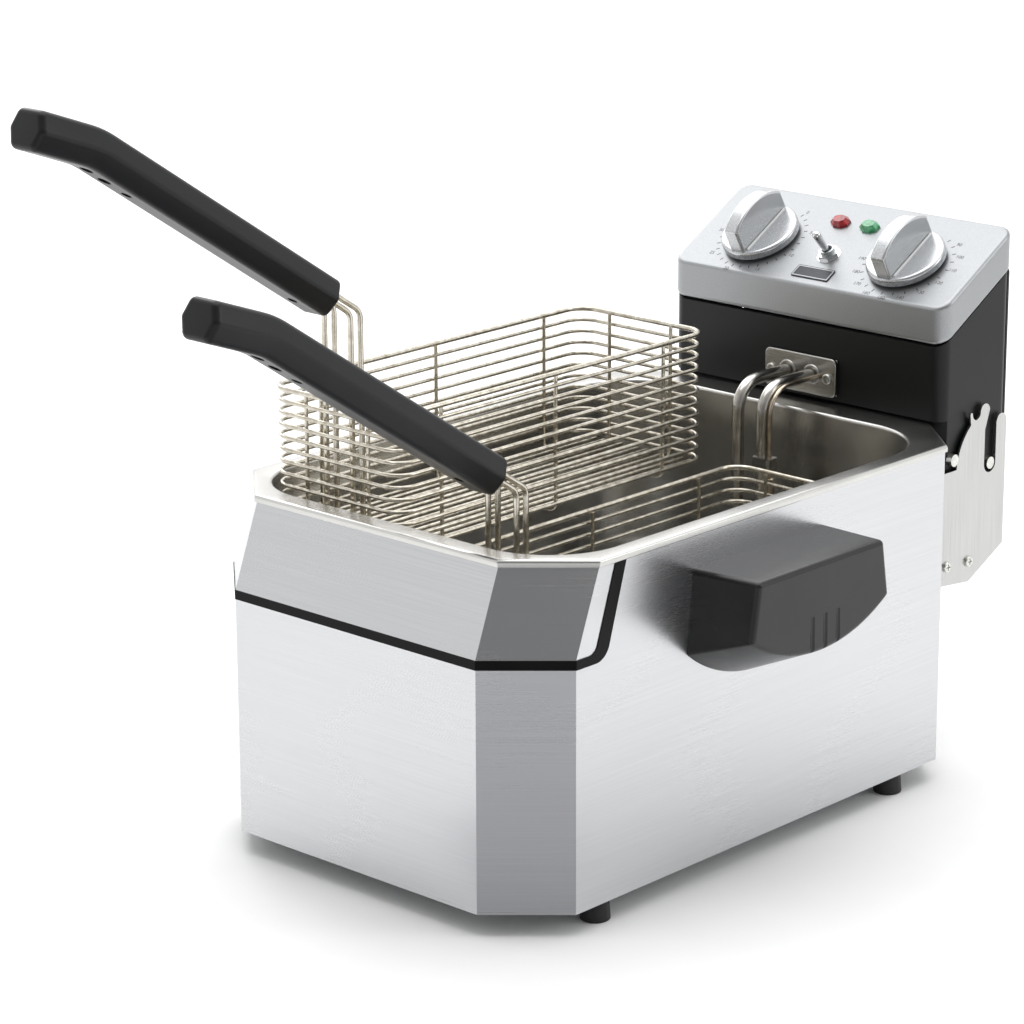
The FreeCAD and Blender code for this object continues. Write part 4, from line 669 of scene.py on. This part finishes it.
def makeFloor():
    half = floorPaper["size"] / 2
    paper = newMaterial("floorPaper", {"Roughness": floorPaper["roughness"], "Specular IOR Level": 0.1})
    place = addNode(paper, "ShaderNodeTexCoord")
    scaled = addNode(paper, "ShaderNodeMapping", links={"Vector": place.outputs["Object"]},
                     values={"Scale": [1000 / floorPaper["cloudMm"]] * 3})
    clouds = addNode(paper, "ShaderNodeTexNoise", links={"Vector": scaled.outputs["Vector"]},
                     values={"Scale": 1.0, "Detail": 2.0})
    tint = addNode(paper, "ShaderNodeValToRGB", links={"Fac": clouds.outputs["Fac"]},
                   ramp=((tintFrom, floorPaper["dark"]), (tintTo, floorPaper["light"])))
    feed(paper, "Base Color", tint.outputs["Color"])
    stagedSheet("floor", [(-half, -half, 0), (half, -half, 0), (half, half, 0), (-half, half, 0)], paper)


# grey card that shows only in the polished steel, as studio flags do; in metres and degrees
frontFlag = {"place": (0.45, -0.51, 0.002), "azimuth": 42.8, "wide": 0.42, "deep": 0.96, "tone": "#ACACAE"}


def makeFlag():
    card = newMaterial("frontFlagCard", {"Base Color": linearColour(frontFlag["tone"]), "Roughness": 0.9,
                                         "Specular IOR Level": 0.0})
    turn = math.radians(frontFlag["azimuth"])
    across = Vector((math.cos(turn), math.sin(turn), 0)) * frontFlag["wide"] / 2
    ahead = Vector((math.sin(turn), -math.cos(turn), 0)) * frontFlag["deep"] / 2
    middle = Vector(frontFlag["place"])
    corners = [middle - across - ahead, middle + across - ahead, middle + across + ahead, middle - across + ahead]
    flag = stagedSheet("frontFlag", [tuple(corner) for corner in corners], card)
    flag.visible_camera = False
    flag.visible_shadow = False
    flag.visible_diffuse = False
    flag.visible_transmission = False


# soft boxes: metres and watts
softBoxes = {
    "topBox": {"place": (-0.2, 0.3, 2.5), "target": (0, 0, 0), "size": (3.0, 2.8), "power": 46},
    "backBox": {"place": (-3.0, 3.0, 2.6), "target": (-2.8, 2.8, 0), "size": (3.4, 3.4), "power": 40},
    "leftBox": {"place": (-2.4, 0.9, 1.5), "target": (0, 0, 0.25), "size": (1.2, 1.6), "power": 12},
    "rightBox": {"place": (2.4, 1.6, 1.4), "target": (0, 0, 0.25), "size": (1.2, 1.4), "power": 10},
}


def makeLight(name, box):
    light = bpy.data.lights.new(name, "AREA")
    light.shape = "RECTANGLE"
    light.size, light.size_y = box["size"]
    light.energy = box["power"]
    lamp = addObject(name, light)
    lamp.location = box["place"]
    lamp.rotation_mode = "QUATERNION"
    lamp.rotation_quaternion = (Vector(box["target"]) - Vector(box["place"])).to_track_quat("-Z", "Y")
    lamp.visible_camera = False


# white air behind the object, dark air in front of it, so that steel facing forward turns grey
studioAir = {"strength": 1.0, "forward": (0.68, -0.73, 0.0), "darkFrom": 0.08, "frontTone": 0.2, "backTone": 1.0}


def makeWorld():
    world = bpy.data.worlds.new("studioAir")
    bpy.context.scene.world = world
    world.use_nodes = True
    background = world.node_tree.nodes["Background"]
    place = addNode(world, "ShaderNodeTexCoord")
    towards = addNode(world, "ShaderNodeVectorMath", {"operation": "DOT_PRODUCT"},
                      links={0: place.outputs["Generated"]}, values={1: studioAir["forward"]})
    tone = addNode(world, "ShaderNodeMapRange", links={"Value": towards.outputs["Value"]},
                   values={"From Min": studioAir["darkFrom"], "From Max": 1.0,
                           "To Min": studioAir["backTone"], "To Max": studioAir["frontTone"]})
    path = addNode(world, "ShaderNodeLightPath")
    seen = addNode(world, "ShaderNodeMath", {"operation": "MAXIMUM"},
                   links={0: tone.outputs["Result"], 1: path.outputs["Is Camera Ray"]})
    world.node_tree.links.new(seen.outputs["Value"], background.inputs["Color"])
    background.inputs["Strength"].default_value = studioAir["strength"]


makeFloor()
makeWorld()
makeFlag()
for name, box in softBoxes.items():
    makeLight(name, box)
print("studio lit")


# metres, degrees and mm of lens
cameraPose = {
    "place": (1.4164, -1.55588, 0.8195), "azimuth": 42.792, "elevation": 16.419, "roll": -0.22, "lens": 127.07,
}


def makeCamera():
    data = bpy.data.cameras.new("camera")
    data.lens = cameraPose["lens"]
    data.sensor_width = 36
    data.clip_end = 60
    camera = addObject("camera", data)
    azimuth = math.radians(cameraPose["azimuth"])
    elevation = math.radians(cameraPose["elevation"])
    back = Vector((math.sin(azimuth) * math.cos(elevation), -math.cos(azimuth) * math.cos(elevation),
                   math.sin(elevation)))
    turn = (-back).to_track_quat("-Z", "Y").to_matrix()
    turn = turn @ Matrix.Rotation(math.radians(cameraPose["roll"]), 3, "Z")
    camera.matrix_world = Matrix.Translation(cameraPose["place"]) @ turn.to_4x4()
    bpy.context.scene.camera = camera


makeCamera()
bpy.context.scene.view_settings.view_transform = "Standard"
print("camera placed")
